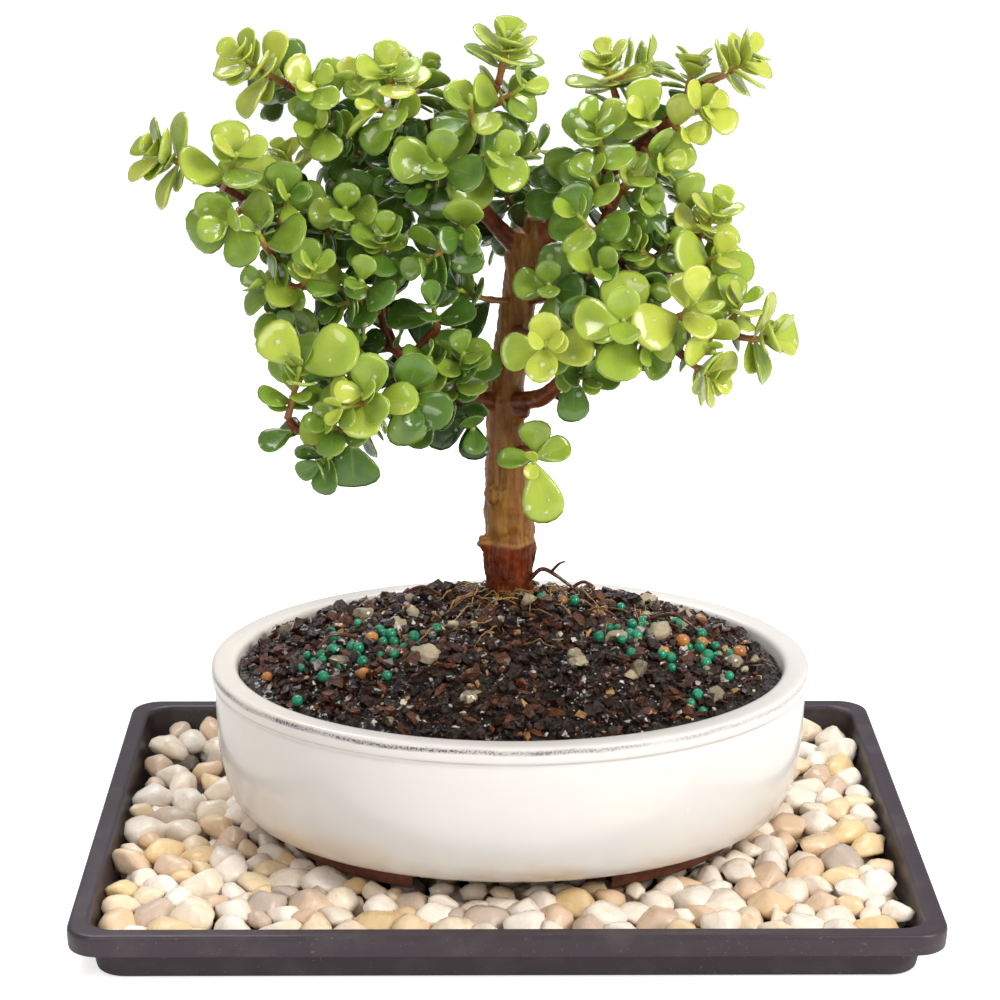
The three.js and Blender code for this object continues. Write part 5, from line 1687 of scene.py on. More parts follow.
# Small shoots inside the crown, which fill it out. Their stem numbers follow the others'
INNER_SHOOTS = ShootPlan.read("""
61 22.5 5 230 18 -14 242 3 14 .5 10, 61 30.5 1 239.5 44 -14 236 3 13 .5 40,
62 -22 6 244.5 -30 -10 252 3 13 .5 0, 62 -14.5 0 241.5 -26 -16 240 3 14 .55 50,
62 -28.5 16 238.5 -38 0 246 3 14 .65 15, 62 -35 14 230.5 -34 -6 240 3 14 .6 70,
63 -55 14 254.5 -62 -6 258 3 14 .5 20, 63 -43.5 18 245 -54 4 248 3 13 .6 0,
63 -65 8 264.5 -62 -8 272 3 13 .4 40, 64 -53.5 14 225 -44 -4 222 3 14 .65 30,
64 -73.5 0 230.5 -70 -20 238 3 14 .5 0, 64 -73.5 0 230.5 -74 -14 220 3 13 .6 30,
65 -51.5 -4 182.5 -46 -22 192 3 14 .6 10, 65 -62.5 -6 185 -72 -24 194 3 13 .55 60,
65 -51.5 -4 182.5 -58 -20 176 3 13 .7 30, 66 -22 -4 169.5 -28 -24 166 3 14 .75 0,
66 -49.5 -36 165 -58 -50 170 3 12 .6 0, 66 -49.5 -36 165 -60 -46 156 3 13 .85 40,
67 16 2 201.5 22 -20 204 3 14 .55 20, 67 24 -8 207.5 30 -26 216 3 14 .45 60,
67 38 -4 212 46 -20 208 3 14 .55 0, 68 33.5 -10 232 26 -24 246 3 13 .45 30,
68 48 -4 255.5 44 -18 264 3 13 .4 0, 68 56 -6 263.5 64 -18 266 3 12 .35 50,
69 40 -18 194 46 -32 190 3 14 .5 20, 69 25.5 -12 189.5 24 -30 196 3 14 .5 0,
69 64 -22 196 66 -36 190 3 13 .45 70, 71 8.5 28 215 22 34 228 3 14 .6 0, 71 6 42 218 -4 40 234 3 14 .6 30,
71 -18 50 213.5 -18 56 228 3 14 .65 0, 71 19.5 52 220.5 24 62 232 3 14 .6 0,
72 -10.5 3 232.5 -12 22 244 3 14 .6 0, 72 22.5 5 230 20 26 238 3 14 .6 30,
72 -22 6 244.5 -20 22 254 3 13 .55 60, 73 -12 -2 252.5 -20 6 266 3 13 .45 0,
73 -7 -1 263 6 10 270 3 12 .45 40, 74 49 2 209 44 18 216 3 14 .6 0, 74 59 4 209.5 70 12 214 3 13 .5 30
""")


class Line:
    """A smooth line through places, as fine steps, with a radius at each."""

    def __init__(self, places: Iterable[tuple[float, ...]], step: float) -> None:
        """Draws the line.

        Args:
            places: X, Y, Z and radius, which the line goes through.
            step: How far apart its points lie.
        """
        known = np.array([place[:4] for place in places], float)
        ends = np.vstack([2 * known[0] - known[1], known, 2 * known[-1] - known[-2]])
        rows = [known[:1]]
        for k in range(len(known) - 1):
            before, here, there, after = ends[k:k + 4]
            count = max(int(np.linalg.norm(there[:3] - here[:3]) / step), 1)
            t = (np.arange(1, count + 1) / count)[:, None]
            rows.append(0.5 * (
                2 * here + (there - before) * t + (2 * before - 5 * here + 4 * there - after) * t ** 2
                + (3 * here - before - 3 * there + after) * t ** 3))
        self.rows = np.vstack(rows)

    def tube(self, sides: int) -> Thing:
        """Makes a round tube along the line.

        Args:
            sides: How many steps a quarter of its section has.

        Returns:
            The tube, closed at its ends.
        """
        path = Bench.add(bpy.ops.curve.primitive_nurbs_path_add)
        shape = path.data
        shape.splines.clear()
        spline = shape.splines.new("POLY")
        spline.points.add(len(self.rows) - 1)
        spline.points.foreach_set("co", np.column_stack([self.rows[:, :3], np.ones(len(self.rows))]).ravel())
        spline.points.foreach_set("radius", self.rows[:, 3])
        shape.bevel_depth = 1.0
        shape.bevel_resolution = sides
        shape.use_fill_caps = True
        bpy.ops.object.convert(target="MESH")
        return bpy.context.object


@dataclass
class Wood:
    """Trunk and limbs, grown as one piece, with rings, scars, knots and a cut stub."""

    GROOVES = ((112.4, 0.5, 0.8), (161.8, 0.4, 0.6), (186.5, 0.35, 0.7), (137, 0.25, 0.5))

    voxel: float = 0.8
    knot: float = 0.35
    fibre: float = 0.45
    scar_height: float = 109.5
    thin: float = 2.4
    thick: float = 5.8
    extra: tuple[tuple[tuple[float, ...], ...], ...] = (
        ((-5, 16, 108.0, 2.6), (-7.4, 14, 110.4, 2.2), (-8.0, 13.4, 112.6, 1.4)),
        ((8.5, 13, 216, 4.4), (9.5, 11, 222, 3.8), (10, 10, 225, 3.4)),
        ((4, 12, 157, 3.6), (6.6, 9.5, 158.2, 2.6), (7.8, 8.6, 158.4, 1.6)),
        ((-3, 12.5, 128, 4.6), (-5.4, 10.6, 129, 3.0), (-6.0, 10.2, 129.2, 2.0)),
        ((3, 13.5, 118, 4.6), (4.2, 11.2, 118.6, 3.2), (4.6, 10.6, 118.8, 2.2)),
    )

    def lines(self) -> list[Line]:
        """Draws every limb's line and the knots."""
        return [Line(places, 1.2) for places in (*LIMBS.values(), *self.extra)]

    def build(self, material: Material) -> Thing:
        """Models the wood as one skin, gives it bark, dresses it and hands it over."""
        lines = self.lines()
        tubes = [line.tube(3) for line in lines]
        wood = Bench.take(*tubes)
        bpy.ops.object.join()
        Bench.apply(wood, "REMESH", mode="VOXEL", voxel_size=self.voxel)
        Bench.apply(wood, "SMOOTH", factor=0.5, iterations=3)
        self.grow_bark(wood, lines)
        Bench.dress(wood, material)
        return hand_over(wood, "trunk_and_limbs", ["trunk"])

    def grow_bark(self, wood: Thing, lines: list[Line]) -> None:
        """Moves the skin in and out, as bark, and marks how thick the wood is.

        Args:
            wood: The skin.
            lines: The lines that it follows.
        """
        rows = np.vstack([line.rows for line in lines[:len(LIMBS)]])
        mesh = wood.data
        places = np.array([vertex.co[:] for vertex in mesh.vertices])
        radius = [
            rows[np.argmin(np.linalg.norm(some[:, None] - rows[:, :3], axis=2) - rows[:, 3], axis=1), 3]
            for some in np.array_split(places, len(places) // 2000 + 1)
        ]
        girth = np.clip((np.concatenate(radius) - self.thin) / (self.thick - self.thin), 0, 1)
        normals = [vertex.normal.copy() for vertex in mesh.vertices]
        for index, (vertex, normal) in enumerate(zip(mesh.vertices, normals)):
            place = vertex.co
            below = min(max((self.scar_height + 1 - place.z) / 3, 0), 1) * girth[index]
            stretched = Vector((place.x, place.y, place.z * 0.16)) / 1.3
            streak = mathutils.noise.fractal(stretched, 0.8, 2.1, 4)
            knots = mathutils.noise.fractal(place / 4.5, 0.8, 2.1, 3)
            out = self.fibre * streak * (0.12 + 0.3 * girth[index] + 1.5 * below)
            out += self.knot * knots * (0.4 + 1.2 * girth[index])
            out -= self.ring_groove(place, girth[index])
            vertex.co = place + normal * out
        Bench.mark(wood, "girth", girth)

    def ring_groove(self, place: Vector, girth: float) -> float:
        """Returns how deep the skin is drawn in by the rings round the trunk and along the limbs."""
        if girth > 0.75:
            wander = 1.2 * math.sin(math.atan2(place.y - 16, place.x) * 2 + 1)
            depth = 0.0
            for level, deep, half in self.GROOVES:
                depth += deep * math.exp(-(((place.z + wander - level) / half) ** 2))
            return depth
        run = place.x * 0.7 + place.z * 0.6 + place.y * 0.35
        return 0.16 * max(math.sin(run * 0.85), 0) ** 12


def unit(values: np.ndarray) -> np.ndarray:
    """Scales a direction to length 1."""
    return values / np.linalg.norm(values)


def about_axis(values: np.ndarray, axis: np.ndarray, angle: float) -> np.ndarray:
    """Turns a direction about an axis by an angle in radians."""
    cos, sin = math.cos(angle), math.sin(angle)
    return values * cos + np.cross(axis, values) * sin + axis * (axis @ values) * (1 - cos)


@dataclass
class Rods:
    """Straight lengths of wood, each end an X, Y, Z and radius, that leaves keep clear of."""

    starts: np.ndarray
    ends: np.ndarray

    def near(self, points: np.ndarray, chosen: Any = slice(None)) -> tuple[np.ndarray, np.ndarray]:
        """Measures points against the lengths.

        Args:
            points: One row each.
            chosen: Which lengths count.

        Returns:
            Distances and radii there, a row for each length and a column for each point.
        """
        start = self.starts[chosen]
        step = self.ends[chosen] - start
        way = step[:, None, :3]
        from_start = points[None, :, :] - start[:, None, :3]
        share = np.clip((from_start * way).sum(axis=2) / (way * way).sum(axis=2), 0, 1)
        distance = np.linalg.norm(from_start - way * share[:, :, None], axis=2)
        return distance, start[:, 3, None] + step[:, 3, None] * share

    def block(self, leaf: "Leaf", clear: float) -> bool:
        """Tells whether a leaf runs into wood, but for the root of one that grows from a limb."""
        middle = (self.starts[:, :3] + self.ends[:, :3]) / 2
        half = np.linalg.norm((self.ends - self.starts)[:, :3], axis=1) / 2
        close = np.linalg.norm(middle - leaf.centre, axis=1) < half + leaf.length + 10
        first = 0 if leaf.stem else 2 * len(Leaf.SIDES)
        distance, radius = self.near(leaf.points[first:], close)
        return bool((distance < radius + leaf.thick[first:] + clear).any())


@dataclass
class Leaf:
    """One leaf where it stands.

    Attributes:
        stem: Number of its leafy stem.
        root: Where its stalk starts, inside the shoot.
        along: The way it points.
        face: The way its upper side looks.
        length: Root to tip.
        width: Across its broadest place.
        curl: How far its tip bows down, as a share of its length.
        age: From 0, fresh, to 1, old.
    """

    SHARES = (0.16, 0.32, 0.46, 0.6, 0.72, 0.84, 0.94, 1)
    SIDES = (-0.95, -0.5, 0, 0.5, 0.95)
    OUTLINE = ((0, 0.12), (0.36, 0.68), (0.74, 1), (0.98, 0.44))
    SMALL_OUTLINE = ((0, 0.12), (0.55, 0.95), (0.96, 0.5))
    SMALL_LENGTH = 11.5
    BELLY = 0.6
    PLUMP = 0.135
    LEAST = 1.5

    stem: int
    root: np.ndarray
    along: np.ndarray
    face: np.ndarray
    length: float
    width: float
    curl: float
    age: float

    def __post_init__(self) -> None:
        """Squares its directions and samples its blade."""
        self.face = unit(self.face - self.along * (self.face @ self.along))
        self.across = np.cross(self.face, self.along)
        self.thickness = max(self.PLUMP * self.length, self.LEAST)
        shares = np.repeat(self.SHARES, len(self.SIDES))
        u = shares * self.length
        v = np.tile(self.SIDES, len(self.SHARES)) * self.half_width(u)
        self.shares = shares
        self.points = self.spots(u, v, 0)
        self.thick = self.half_thickness(u, v)
        self.centre = self.spots(np.array([self.length / 2]), np.zeros(1), 0)[0]

    def half_width(self, u: np.ndarray) -> np.ndarray:
        """Returns half its width at distances from its root."""
        outline = self.SMALL_OUTLINE if self.length < self.SMALL_LENGTH else self.OUTLINE
        places, shares = zip(*outline)
        return self.width / 2 * np.interp(u / self.length, places, shares)

    def half_thickness(self, u: np.ndarray, v: np.ndarray) -> np.ndarray:
        """Returns half its thickness at places on its blade."""
        share = u / self.length
        along = np.where(share < self.BELLY, share / self.BELLY, (1 - share) / (1 - self.BELLY))
        across = 1 - np.abs(v) / self.half_width(u)
        return self.thickness / 2 * np.maximum(along, 0) * np.maximum(across, 0)

    def bow(self, u: np.ndarray) -> np.ndarray:
        """Returns how far it bows down at distances from its root."""
        return -self.curl * self.length * (u / self.length) ** 2

    def spots(self, u: np.ndarray, v: np.ndarray, w: float | np.ndarray) -> np.ndarray:
        """Returns places on it: along, across and above its blade."""
        rise = self.bow(u) + w
        return (self.root + np.outer(u, self.along) + np.outer(v, self.across) + np.outer(rise, self.face))


@dataclass
class Shoot:
    """A shoot where it stands: its plan, its bowed line, and where it starts and bears its pairs."""

    SAG = 0.1
    FIRST_PAIR = 0.3
    LAST_PAIR = 0.92
    BASE = 1.5
    SEAT = 1.6
    GAP = 0.3

    plan: ShootPlan
    is_side: bool
    ends_limb: bool
    first: float = 0.0

    def __post_init__(self) -> None:
        """Draws its line."""
        self.start = np.array(self.plan.start, float)
        self.tip = np.array(self.plan.tip, float)
        self.reach = float(np.linalg.norm(self.tip - self.start))
        self.middle = (self.start + self.tip) / 2 - np.array([0, 0, self.SAG * self.reach])

    def point(self, t: float) -> np.ndarray:
        """Returns the place at a share of its line."""
        return (1 - t) ** 2 * self.start + 2 * t * (1 - t) * self.middle + t * t * self.tip

    def crossing(self, t: float) -> tuple[np.ndarray, np.ndarray, np.ndarray]:
        """Returns its direction at a share of its line and two directions across it."""
        stem = unit(2 * (1 - t) * (self.middle - self.start) + 2 * t * (self.tip - self.middle))
        whole = unit(self.tip - self.start)
        axis = np.array([0, 0, 1.0]) if abs(whole[0]) > 0.85 else np.array([1.0, 0, 0])
        zero = unit(axis - stem * (axis @ stem))
        return stem, zero, np.cross(stem, zero)

    def rank(self, pair: float) -> float:
        """Returns 0 for the first pair and 1 for the last."""
        return pair / (self.plan.pairs - 1) if self.plan.pairs > 1 else 1.0

    def node(self, pair: float) -> float:
        """Returns the share of its line at which a pair grows."""
        share = self.FIRST_PAIR + (self.LAST_PAIR - self.FIRST_PAIR) * self.rank(pair)
        return self.first + (1 - self.first) * share

    def corners(self, t: float, radius: float) -> np.ndarray:
        """Returns four places round it."""
        _, zero, quarter = self.crossing(t)
        angles = np.radians(self.plan.turn - 45 + 90 * np.arange(4))
        return self.point(t) + radius * (np.outer(np.cos(angles), zero) + np.outer(np.sin(angles), quarter))


class Layout:
    """Works out where every leaf stands, by the rule that lays out the part itself."""

    YIELDS = (
        (0, 0, 1), (12, 0, 1), (-12, 0, 1), (0, -14, 1), (0, 12, 0.95), (20, -8, 0.92), (-20, -8, 0.92),
        (10, -24, 0.86), (-10, -24, 0.86), (24, 8, 0.8), (-24, 8, 0.8), (0, -30, 0.72), (14, 0, 0.66),
        (-14, 0, 0.66),
    )
    LIGHT = np.array([0, -0.5, 0.85])
    SPREAD = 76
    CLOSING = 34
    TIP_LOSS = 0.4
    SCALE = 1.14
    WIDTH = 0.82
    CLEAR = 0.8
    KIN_CLEAR = 0.3
    KIN_ROOT = 0.22
    FAR_APART = 0.62
    LIMB_LEAF = (8.5, 13.5)
    SEED = 60413
    MOST = 3000
    BARE = ((-9, -30, 150), (7, 14, 232))
    WINDOW = ((-10, -60, 118), (14, 12, 232))
    BARE_LIMBS = ("right arm", "left arm", "right middle")
    BARE_REACH = 7.0
    FACING = np.array([[1, 0, 0], [0, 0.293, 0.956]])

    def __init__(self) -> None:
        """Lays out the chosen leaves, the planned shoots and then the inner ones."""
        self.shoots = self.plan_shoots()
        self.rods = self.gather_wood()
        for shoot in self.shoots:
            shoot.first = self.first_of(shoot)
        self.leaves: list[Leaf] = []
        self.limb_leaves: list[Leaf] = []
        self.centres = np.zeros((self.MOST, 4))
        self.bare = np.vstack([Line(LIMBS[name], 3.0).rows[:, :3] for name in self.BARE_LIMBS])
        for each in CHOSEN_LEAVES:
            self.keep(self.choose(each))
        dice = Dice(self.SEED)
        for fills in (False, True):
            for shoot in self.shoots:
                self.grow(shoot, dice, fills)
        for name in LIMBS:
            if name != "trunk":
                self.fill_limb(name, dice)

    def plan_shoots(self) -> list[Shoot]:
        """Draws the shoots."""
        plans = SHOOTS + INNER_SHOOTS
        ends = {places[-1][:3] for places in LIMBS.values()}
        shoots = []
        for index, plan in enumerate(plans):
            is_side = index > 0 and plans[index - 1].stem == plan.stem and plan in SHOOTS
            shoots.append(Shoot(plan, is_side, plan.start in ends))
        return shoots

    def gather_wood(self) -> Rods:
        """Gathers the limbs' lengths, each up to the shoot that ends it."""
        starts, ends = [], []
        for places in LIMBS.values():
            rows = list(places)
            enders = [shoot for shoot in self.shoots if shoot.plan.start == places[-1][:3]]
            if enders:
                seat = enders[0].point(enders[0].SEAT / enders[0].reach)
                rows.append((*seat, Shoot.BASE))
            starts += rows[:-1]
            ends += rows[1:]
        return Rods(np.array(starts, float), np.array(ends, float))

    def first_of(self, shoot: Shoot) -> float:
        """Returns the share of its line at which a shoot comes out of the wood."""
        step = 0.1 / shoot.reach
        if shoot.is_side:
            return 0.0
        if shoot.ends_limb:
            return (shoot.SEAT + shoot.GAP) / shoot.reach + step
        t = 0.0
        while t < 0.6:
            distance, radius = self.rods.near(shoot.corners(t, shoot.BASE))
            if not (distance < radius + shoot.GAP).any():
                break
            t += step
        return t

    def choose(self, chosen: ChosenLeaf) -> Leaf:
        """Places a chosen leaf."""
        root = np.array(chosen.root, float)
        way = np.array(chosen.tip) - root
        length = float(np.linalg.norm(way))
        face = np.array(chosen.face)
        return Leaf(chosen.stem, root, way / length, face, length, chosen.width, 0.04, chosen.age)

    def try_leaf(
            self, shoot: Shoot, pair: float, side: int, throws: list[float], give: tuple[float, ...]) -> Leaf:
        """Stands a leaf at its seat in one way.

        Args:
            shoot: What it grows from.
            pair: Which pair it is one of.
            side: 0 or 180 degrees.
            throws: Five numbers from -1 to 1.
            give: How it gives way: turned and lifted in degrees, and scaled.

        Returns:
            The leaf.
        """
        turn, lift, scale = give
        t = shoot.node(pair)
        stem, zero, quarter = shoot.crossing(t)
        rank = shoot.rank(pair)
        about = math.radians(shoot.plan.turn + 90 * pair + side + 12 * throws[1] + turn)
        spread = math.radians(self.SPREAD - self.CLOSING * rank + 8 * throws[2] + lift)
        out = zero * math.cos(about) + quarter * math.sin(about)
        along = stem * math.cos(spread) + out * math.sin(spread)
        face = stem * math.sin(spread) - out * math.cos(spread) + self.LIGHT * 0.3
        face = about_axis(face, along, 0.2 * throws[3])
        length = self.SCALE * shoot.plan.leaf * (1 - self.TIP_LOSS * rank * rank)
        length *= 1 + 0.1 * throws[0]
        length *= scale
        width = length * (self.WIDTH + 0.06 * throws[4])
        curl = 0.04 + 0.06 * throws[2]
        return Leaf(shoot.plan.stem, shoot.point(t), along, face, length, width, curl, shoot.plan.age)

    def blocked(self, leaf: Leaf, other: Leaf) -> bool:
        """Tells whether a leaf runs into another one."""
        kin = leaf.stem == other.stem
        clear = self.KIN_CLEAR if kin else self.CLEAR
        least = self.KIN_ROOT if kin else -0.1
        way = leaf.points - other.root
        u, v, face = way @ other.along, way @ other.across, way @ other.face
        w = face - other.bow(u)
        counts = (leaf.shares >= least) & (u >= least * other.length) & (u <= other.length + clear)
        inside = np.clip(u, 0, other.length)
        room = other.half_thickness(inside, v) + leaf.thick + clear
        return bool((counts & (np.abs(v) < other.half_width(inside) + clear) & (np.abs(w) < room)).any())

    def is_free(self, leaf: Leaf) -> bool:
        """Tells whether a leaf has room among the wood and the leaves so far."""
        if self.rods.block(leaf, self.CLEAR):
            return False
        size = len(self.leaves)
        far = np.linalg.norm(self.centres[:size, :3] - leaf.centre, axis=1)
        near = np.nonzero(far <= (self.centres[:size, 3] + leaf.length) * self.FAR_APART)[0]
        return not any(
            self.blocked(leaf, self.leaves[k]) or self.blocked(self.leaves[k], leaf) for k in near)

    def keep(self, leaf: Leaf) -> None:
        """Adds a leaf that has found room."""
        self.centres[len(self.leaves)] = (*leaf.centre, leaf.length)
        self.leaves.append(leaf)

    def grow(self, shoot: Shoot, dice: Dice, fills: bool) -> None:
        """Grows a shoot's leaves where they have room.

        Args:
            shoot: The shoot.
            dice: Throws how each leaf stands.
            fills: Whether these are the small leaves between its pairs.
        """
        for pair in range(-fills, shoot.plan.pairs - fills):
            for side in (45, 225) if fills else (0, 180):
                throws = [dice.swing() for _ in range(5)]
                for turn, lift, scale in self.YIELDS[:10] if fills else self.YIELDS:
                    size = scale * dice.pick(0.55, 0.8) if fills else scale
                    leaf = self.try_leaf(shoot, pair + fills / 2, side, throws, (turn, lift, size))
                    hides = self.in_window(leaf) if fills else self.is_between(leaf.centre, self.BARE)
                    if not hides and self.is_free(leaf):
                        self.keep(leaf)
                        break

    def fill_limb(self, name: str, dice: Dice) -> None:
        """Grows single leaves straight from a limb, where they have room.

        Args:
            name: The limb.
            dice: Throws their places.
        """
        line = Line(LIMBS[name], 1.0).rows
        for index in range(6, len(line) - 2, 3):
            place, radius = line[index][:3], line[index][3]
            stem = unit(line[index + 1][:3] - place)
            level = unit(np.cross(stem, np.array([0.3, 0.2, 1.0])))
            for _ in range(3):
                out = about_axis(level, stem, dice.swing(math.pi))
                lean = dice.pick(0.1, 0.9)
                along = unit(out + stem * lean + np.array([0, -0.15, 0.1]))
                face = about_axis(unit(stem - out * lean + self.LIGHT * 0.6), along, dice.swing(0.5))
                length = dice.pick(*self.LIMB_LEAF)
                root = place + out * radius * 0.6
                width, curl = length * dice.pick(0.74, 0.92), dice.pick(0.0, 0.12)
                leaf = Leaf(0, root, along, face, length, width, curl, dice.pick(0.5, 1.0))
                if not self.in_window(leaf) and self.is_free(leaf):
                    self.keep(leaf)
                    self.limb_leaves.append(leaf)
                    break

    def in_window(self, leaf: Leaf) -> bool:
        """Tells whether a leaf would hide the bare trunk or a bare limb from the front."""
        flat = self.bare @ self.FACING.T
        seen = self.FACING @ leaf.centre
        near = np.linalg.norm(flat - seen, axis=1) < self.BARE_REACH
        hides = near & (self.bare[:, 1] > leaf.centre[1])
        return self.is_between(leaf.centre, self.WINDOW) or bool(hides.any())

    @staticmethod
    def is_between(place: np.ndarray, window: tuple[Place, Place]) -> bool:
        """Tells whether a place lies in a box."""
        return bool((place > window[0]).all() and (place < window[1]).all())


class LeafShape(Enum):
    """Outlines that jade leaves have: how the rim's root and tip draw in, fold depth and cupping."""

    ROUND = (0.14, 1.06, 0.012, 0.05)
    BROAD = (0.24, 1.00, 0.020, 0.09)
    SPOON = (0.04, 1.14, 0.014, 0.03)
    EGG = (0.34, 0.90, 0.022, 0.11)
    BLUNT = (0.10, 1.20, 0.010, 0.06)

    def model(self) -> Template:
        """Models the leaf flat, a unit long and wide, its root at the origin and its tip along Y."""
        root, tip, fold, cup = self.value
        blade = Bench.add(bpy.ops.mesh.primitive_circle_add, vertices=18, radius=0.5,
                          fill_type="NGON", location=(0, 0.5, 0))
        Bench.freeze(blade)
        with Bench.editing(blade):
            bpy.ops.mesh.inset(thickness=0.05, depth=0.03)
            bpy.ops.mesh.inset(thickness=0.18, depth=0.016)
            Bench.choose_rim()
            bpy.ops.mesh.edge_face_add()
            bpy.ops.mesh.select_all(action="SELECT")
            bpy.ops.mesh.normals_make_consistent(inside=False)
            Bench.choose(blade, "FACE", lambda place: place.z < 0.001)
            bpy.ops.mesh.inset(thickness=0.1, depth=0.036)
            Bench.slice(((0, 0, 0), (1, 0, 0)), ((0, 0.42, 0), (0, 1, 0)), ((0, 0.7, 0), (0, 1, 0)))
            Bench.choose(blade, "VERT", lambda place: abs(place.x) < 0.001 and place.z > 0.035)
            bpy.ops.transform.translate(value=(0, 0, -fold))
        for vertex in blade.data.vertices:
            level = min(max(vertex.co.y, 0.0), 1.0)
            vertex.co.x *= root + (tip - root + 0.12) * level ** 0.7
            vertex.co.z *= 0.45 + 0.55 * min(level / 0.3, 1.0)
        wide = max(abs(vertex.co.x) for vertex in blade.data.vertices)
        template = Template.of(Bench.freeze(blade, (0.5 / wide, 1, 1)), flat_uv=True)
        height = template.points[:, 2].copy()
        template.marks["rim"] = np.clip(1 - np.abs(height) / 0.028, 0, 1)
        template.marks["under"] = (height < -0.001).astype(float)
        template.points[:, 2] += cup * (2 * template.points[:, 0]) ** 2
        return template


@dataclass
class Crown:
    """Leafy stems: each a few twigs with their leaves, in one mesh."""

    layout: Layout
    plump: float = 1.22
    grow: float = 0.96
    twig_radius: float = 1.28
    taper: float = 0.62
    knuckle: Pair = (0.34, 0.9)
    tone_spread: float = 0.18
    # Middle and reach of the crown, within which leaves are painted darker as shade.
    middle: Place = (-5, 8, 212)
    half: Place = (100, 62, 76)

    def shade(self, leaf: Leaf) -> float:
        """Returns painted shade and light, as an age shift: darker inside the crown, lighter towards the lit
        right.
        """
        # Painted shade: the deeper inside the crown, the older and darker a leaf is painted.
        out = np.linalg.norm((leaf.centre - np.array(self.middle)) / np.array(self.half))
        # Painted light: towards the right, where the key light falls, leaves are painted fresher and lighter.
        lit = min(max(leaf.centre[0] / 80, 0), 1)
        return 0.62 * max(1 - out, 0) - 0.12 - 0.13 * lit

    def model_twig(self) -> Template:
        """Models a straight twig, a unit long, with closed ends."""
        twig = Bench.add(bpy.ops.mesh.primitive_cylinder_add, vertices=8, radius=1, depth=1)
        with Bench.editing(twig):
            Bench.slice(*(((0, 0, step / 14 - 0.5), (0, 0, 1)) for step in range(1, 14)))
        return Template.of(twig)

    def bend_twig(self, twig: Template, shoot: Shoot) -> np.ndarray:
        """Bends the twig along a shoot, swollen where its pairs grow."""
        root = -0.05 if shoot.is_side or shoot.first == 0 else 0.0
        shares = twig.points[:, 2] + 0.5
        nodes = [shoot.node(pair) for pair in range(shoot.plan.pairs)]
        placed = np.zeros_like(twig.points)
        for share in np.unique(np.round(shares, 5)):
            rows = np.abs(shares - share) < 1e-4
            t = root + (0.985 - root) * share
            _, zero, quarter = shoot.crossing(min(max(t, 0), 1))
            radius = self.twig_radius - self.taper * share
            swell, wide = self.knuckle
            radius += swell * sum(math.exp(-(((t - node) * shoot.reach / wide) ** 2)) for node in nodes)
            placed[rows] = shoot.point(t) + radius * (
                np.outer(twig.points[rows, 0], zero) + np.outer(twig.points[rows, 1], quarter))
        return placed

    def lay_leaf(self, template: Template, leaf: Leaf, dice: Dice) -> np.ndarray:
        """Stands a copy of a leaf at its place, bowed, and a little uneven as grown."""
        x, y, z = template.points.T
        sway = dice.swing(0.05)
        ripple = dice.swing(0.022)
        u = y * leaf.length * self.grow
        v = (x + sway * y * y) * leaf.width * self.grow
        rise = z * leaf.length * self.plump + ripple * leaf.length * np.sin(7 * y + 3 * x) * y
        return leaf.spots(u, v, rise)

    def build(self, leaf_finish: Material, shoot_finish: Material) -> list[Thing]:
        """Makes one piece for each leafy stem, dresses them and hands them over."""
        shapes = [shape.model() for shape in LeafShape]
        twig = self.model_twig()
        dice = Dice(8191)
        pieces = []
        for stem in sorted({shoot.plan.stem for shoot in self.layout.shoots}):
            name = f"leafy_stem_{stem:02d}"
            copies = Copies()
            for shoot in (each for each in self.layout.shoots if each.plan.stem == stem):
                along = twig.points[:, 2] + 0.5
                copies.add(twig, self.bend_twig(twig, shoot), 1, age=1.05 - 1.1 * along)
            for leaf in (each for each in self.layout.leaves if each.stem == stem):
                template = dice.choose(shapes)
                copies.add(template, self.lay_leaf(template, leaf, dice), 0,
                           age=leaf.age + self.shade(leaf) + dice.swing(self.tone_spread), tone=dice.swing())
            nodes = [name] if stem <= SHOOTS[-1].stem else []
            label = f"jade_sprig_{stem:02d}" if nodes else f"inner_sprig_{stem:02d}"
            pieces.append(hand_over(copies.make([leaf_finish, shoot_finish]), label, nodes))
        copies = Copies()
        for leaf in self.layout.limb_leaves:
            template = dice.choose(shapes)
            copies.add(template, self.lay_leaf(template, leaf, dice), 0,
                       age=leaf.age + self.shade(leaf), tone=dice.swing())
        pieces.append(hand_over(copies.make([leaf_finish]), "limb_leaves"))
        return pieces


# Studio: each light's place, what it faces, how wide it is, its power and its colour
STUDIO_LIGHTS = (
    ((760, -620, 760), (0, 0, 130), 480, 11.0, "fffaf2"),
    ((-420, -900, 640), (0, 0, 200), 420, 2.7, "fff8f2"),
    ((-150, 420, 950), (0, 0, 180), 620, 6.5, "ffffff"),
)


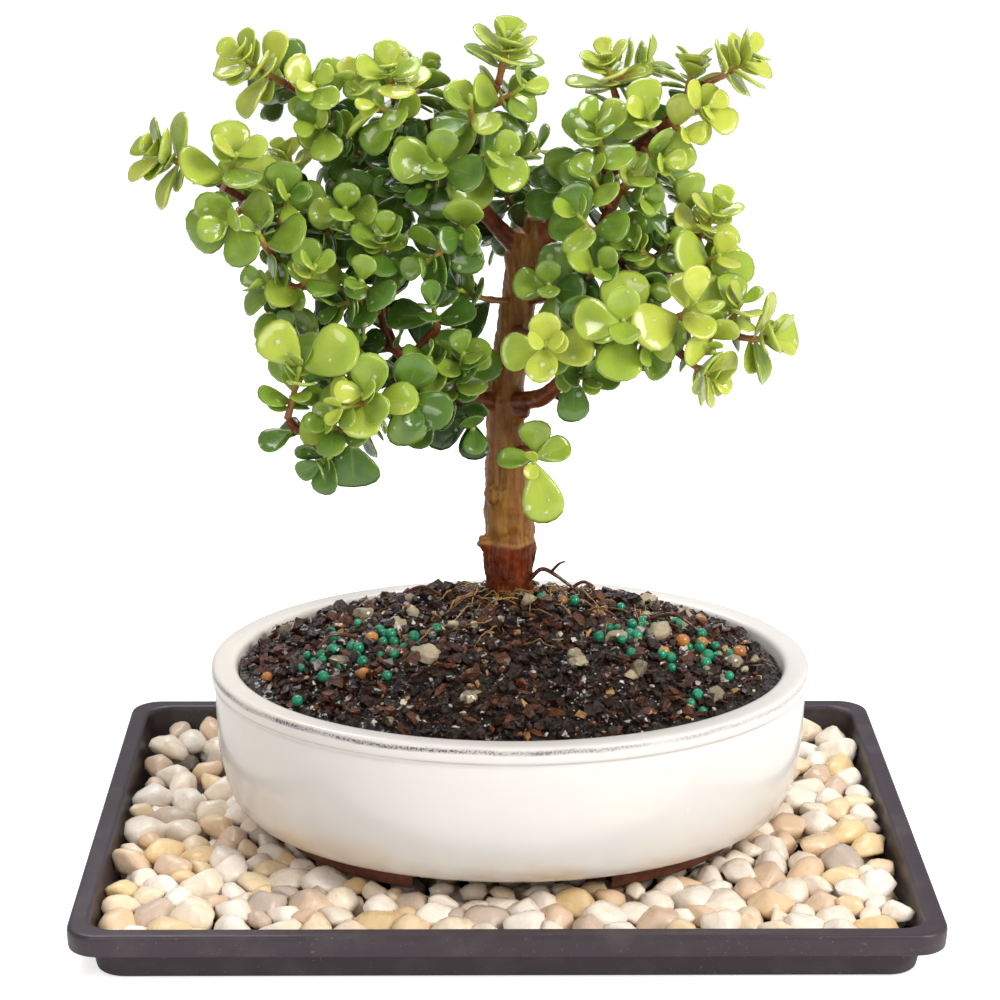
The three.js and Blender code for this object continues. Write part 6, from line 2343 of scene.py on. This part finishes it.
@dataclass
class Studio:
    """Pale floor, soft lights and a camera at the height of the pot's middle, looking slightly down."""

    eye: Place = (-15.24208257, -909.48652596, 408.79834031)
    right: Place = (0.99989978, -0.01349979, 0.00426543)
    up: Place = (-0.000120099, 0.293182555, 0.956056471)
    lens: float = 101.455
    sensor: float = 36.0
    floor_size: float = 9000.0
    surroundings: float = 0.42

    def add_camera(self) -> None:
        """Sets up the camera."""
        camera = Bench.add(bpy.ops.object.camera_add)
        right, up = Vector(self.right).normalized(), Vector(self.up)
        back = right.cross(up).normalized()
        up = back.cross(right)
        turn = Matrix((right, up, back)).transposed()
        camera.matrix_world = Matrix.Translation(Vector(self.eye) * MM) @ turn.to_4x4()
        camera.data.lens = self.lens
        camera.data.sensor_width = self.sensor
        camera.data.clip_start = 0.05
        bpy.context.scene.camera = camera

    def add_light(self, place: Place, target: Place, size: float, power: float, colour: str) -> None:
        """Adds a large soft light.

        Args:
            place: Where it stands.
            target: What it faces.
            size: How wide it is.
            power: Its power in watts.
            colour: Its screen colour.
        """
        light = Bench.add(bpy.ops.object.light_add, type="AREA", location=Vector(place) * MM)
        way = Vector(target) - Vector(place)
        light.rotation_euler = way.to_track_quat("-Z", "Y").to_euler()
        light.data.size = size * MM
        light.data.energy = power
        light.data.color = ink(colour)[:3]

    def add_floor(self, material: Material) -> None:
        """Adds the floor, which isn't part of the object."""
        floor = Bench.add(
            bpy.ops.mesh.primitive_plane_add, size=self.floor_size * MM, location=(0, 0, -0.0003))
        Bench.freeze(floor)
        floor.name = "floor"
        floor.data.materials.append(material)

    def build(self, material: Material) -> None:
        """Sets up the camera, the floor, the lights and the pale surroundings."""
        self.add_camera()
        self.add_floor(material)
        for light in STUDIO_LIGHTS:
            self.add_light(*light)
        world = bpy.data.worlds.new("studio")
        world.use_nodes = True
        world.node_tree.nodes.clear()
        net = Wiring(world.node_tree)
        seen = net.add("NodeLightPath").outputs["Is Camera Ray"]
        strength = net.times(seen, 1 - self.surroundings, self.surroundings)
        backdrop = net.add("NodeBackground", {"Color": ink("ffffff"), "Strength": strength})
        net.add("NodeOutputWorld", {"Surface": backdrop.outputs[0]})
        bpy.context.scene.world = world
        bpy.context.scene.view_settings.view_transform = "Standard"


def main() -> None:
    """Builds the tree in its pot, piece by piece, and the studio round it."""
    logging.basicConfig(level=logging.INFO, format="%(name)s %(message)s")
    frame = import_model()
    palette = Palette()
    Studio().build(FloorFinish().build(palette))

    tray, pot = Tray(), Pot()
    tray.build(TrayFinish().build(palette))
    PebbleBed(tray, pot).build(PebbleFinish().build(palette))
    pot.build(GlazeFinish().build(palette))
    screen = ScreenFinish().build(palette)
    for name in ("drain_screen_left", "drain_screen_right"):
        node = frame["nodes"][name]
        node.data.materials.clear()
        node.data.materials.append(screen)
    Soil(pot).build({grain: GrainFinish(grain).build(palette) for grain in Grain})
    Wood().build(BarkFinish().build(palette))
    layout = Layout()
    LOG.info("leaves: %d", len(layout.leaves))
    Crown(layout).build(LeafFinish().build(palette), ShootFinish().build(palette))


if __name__ == "__main__":
    main()
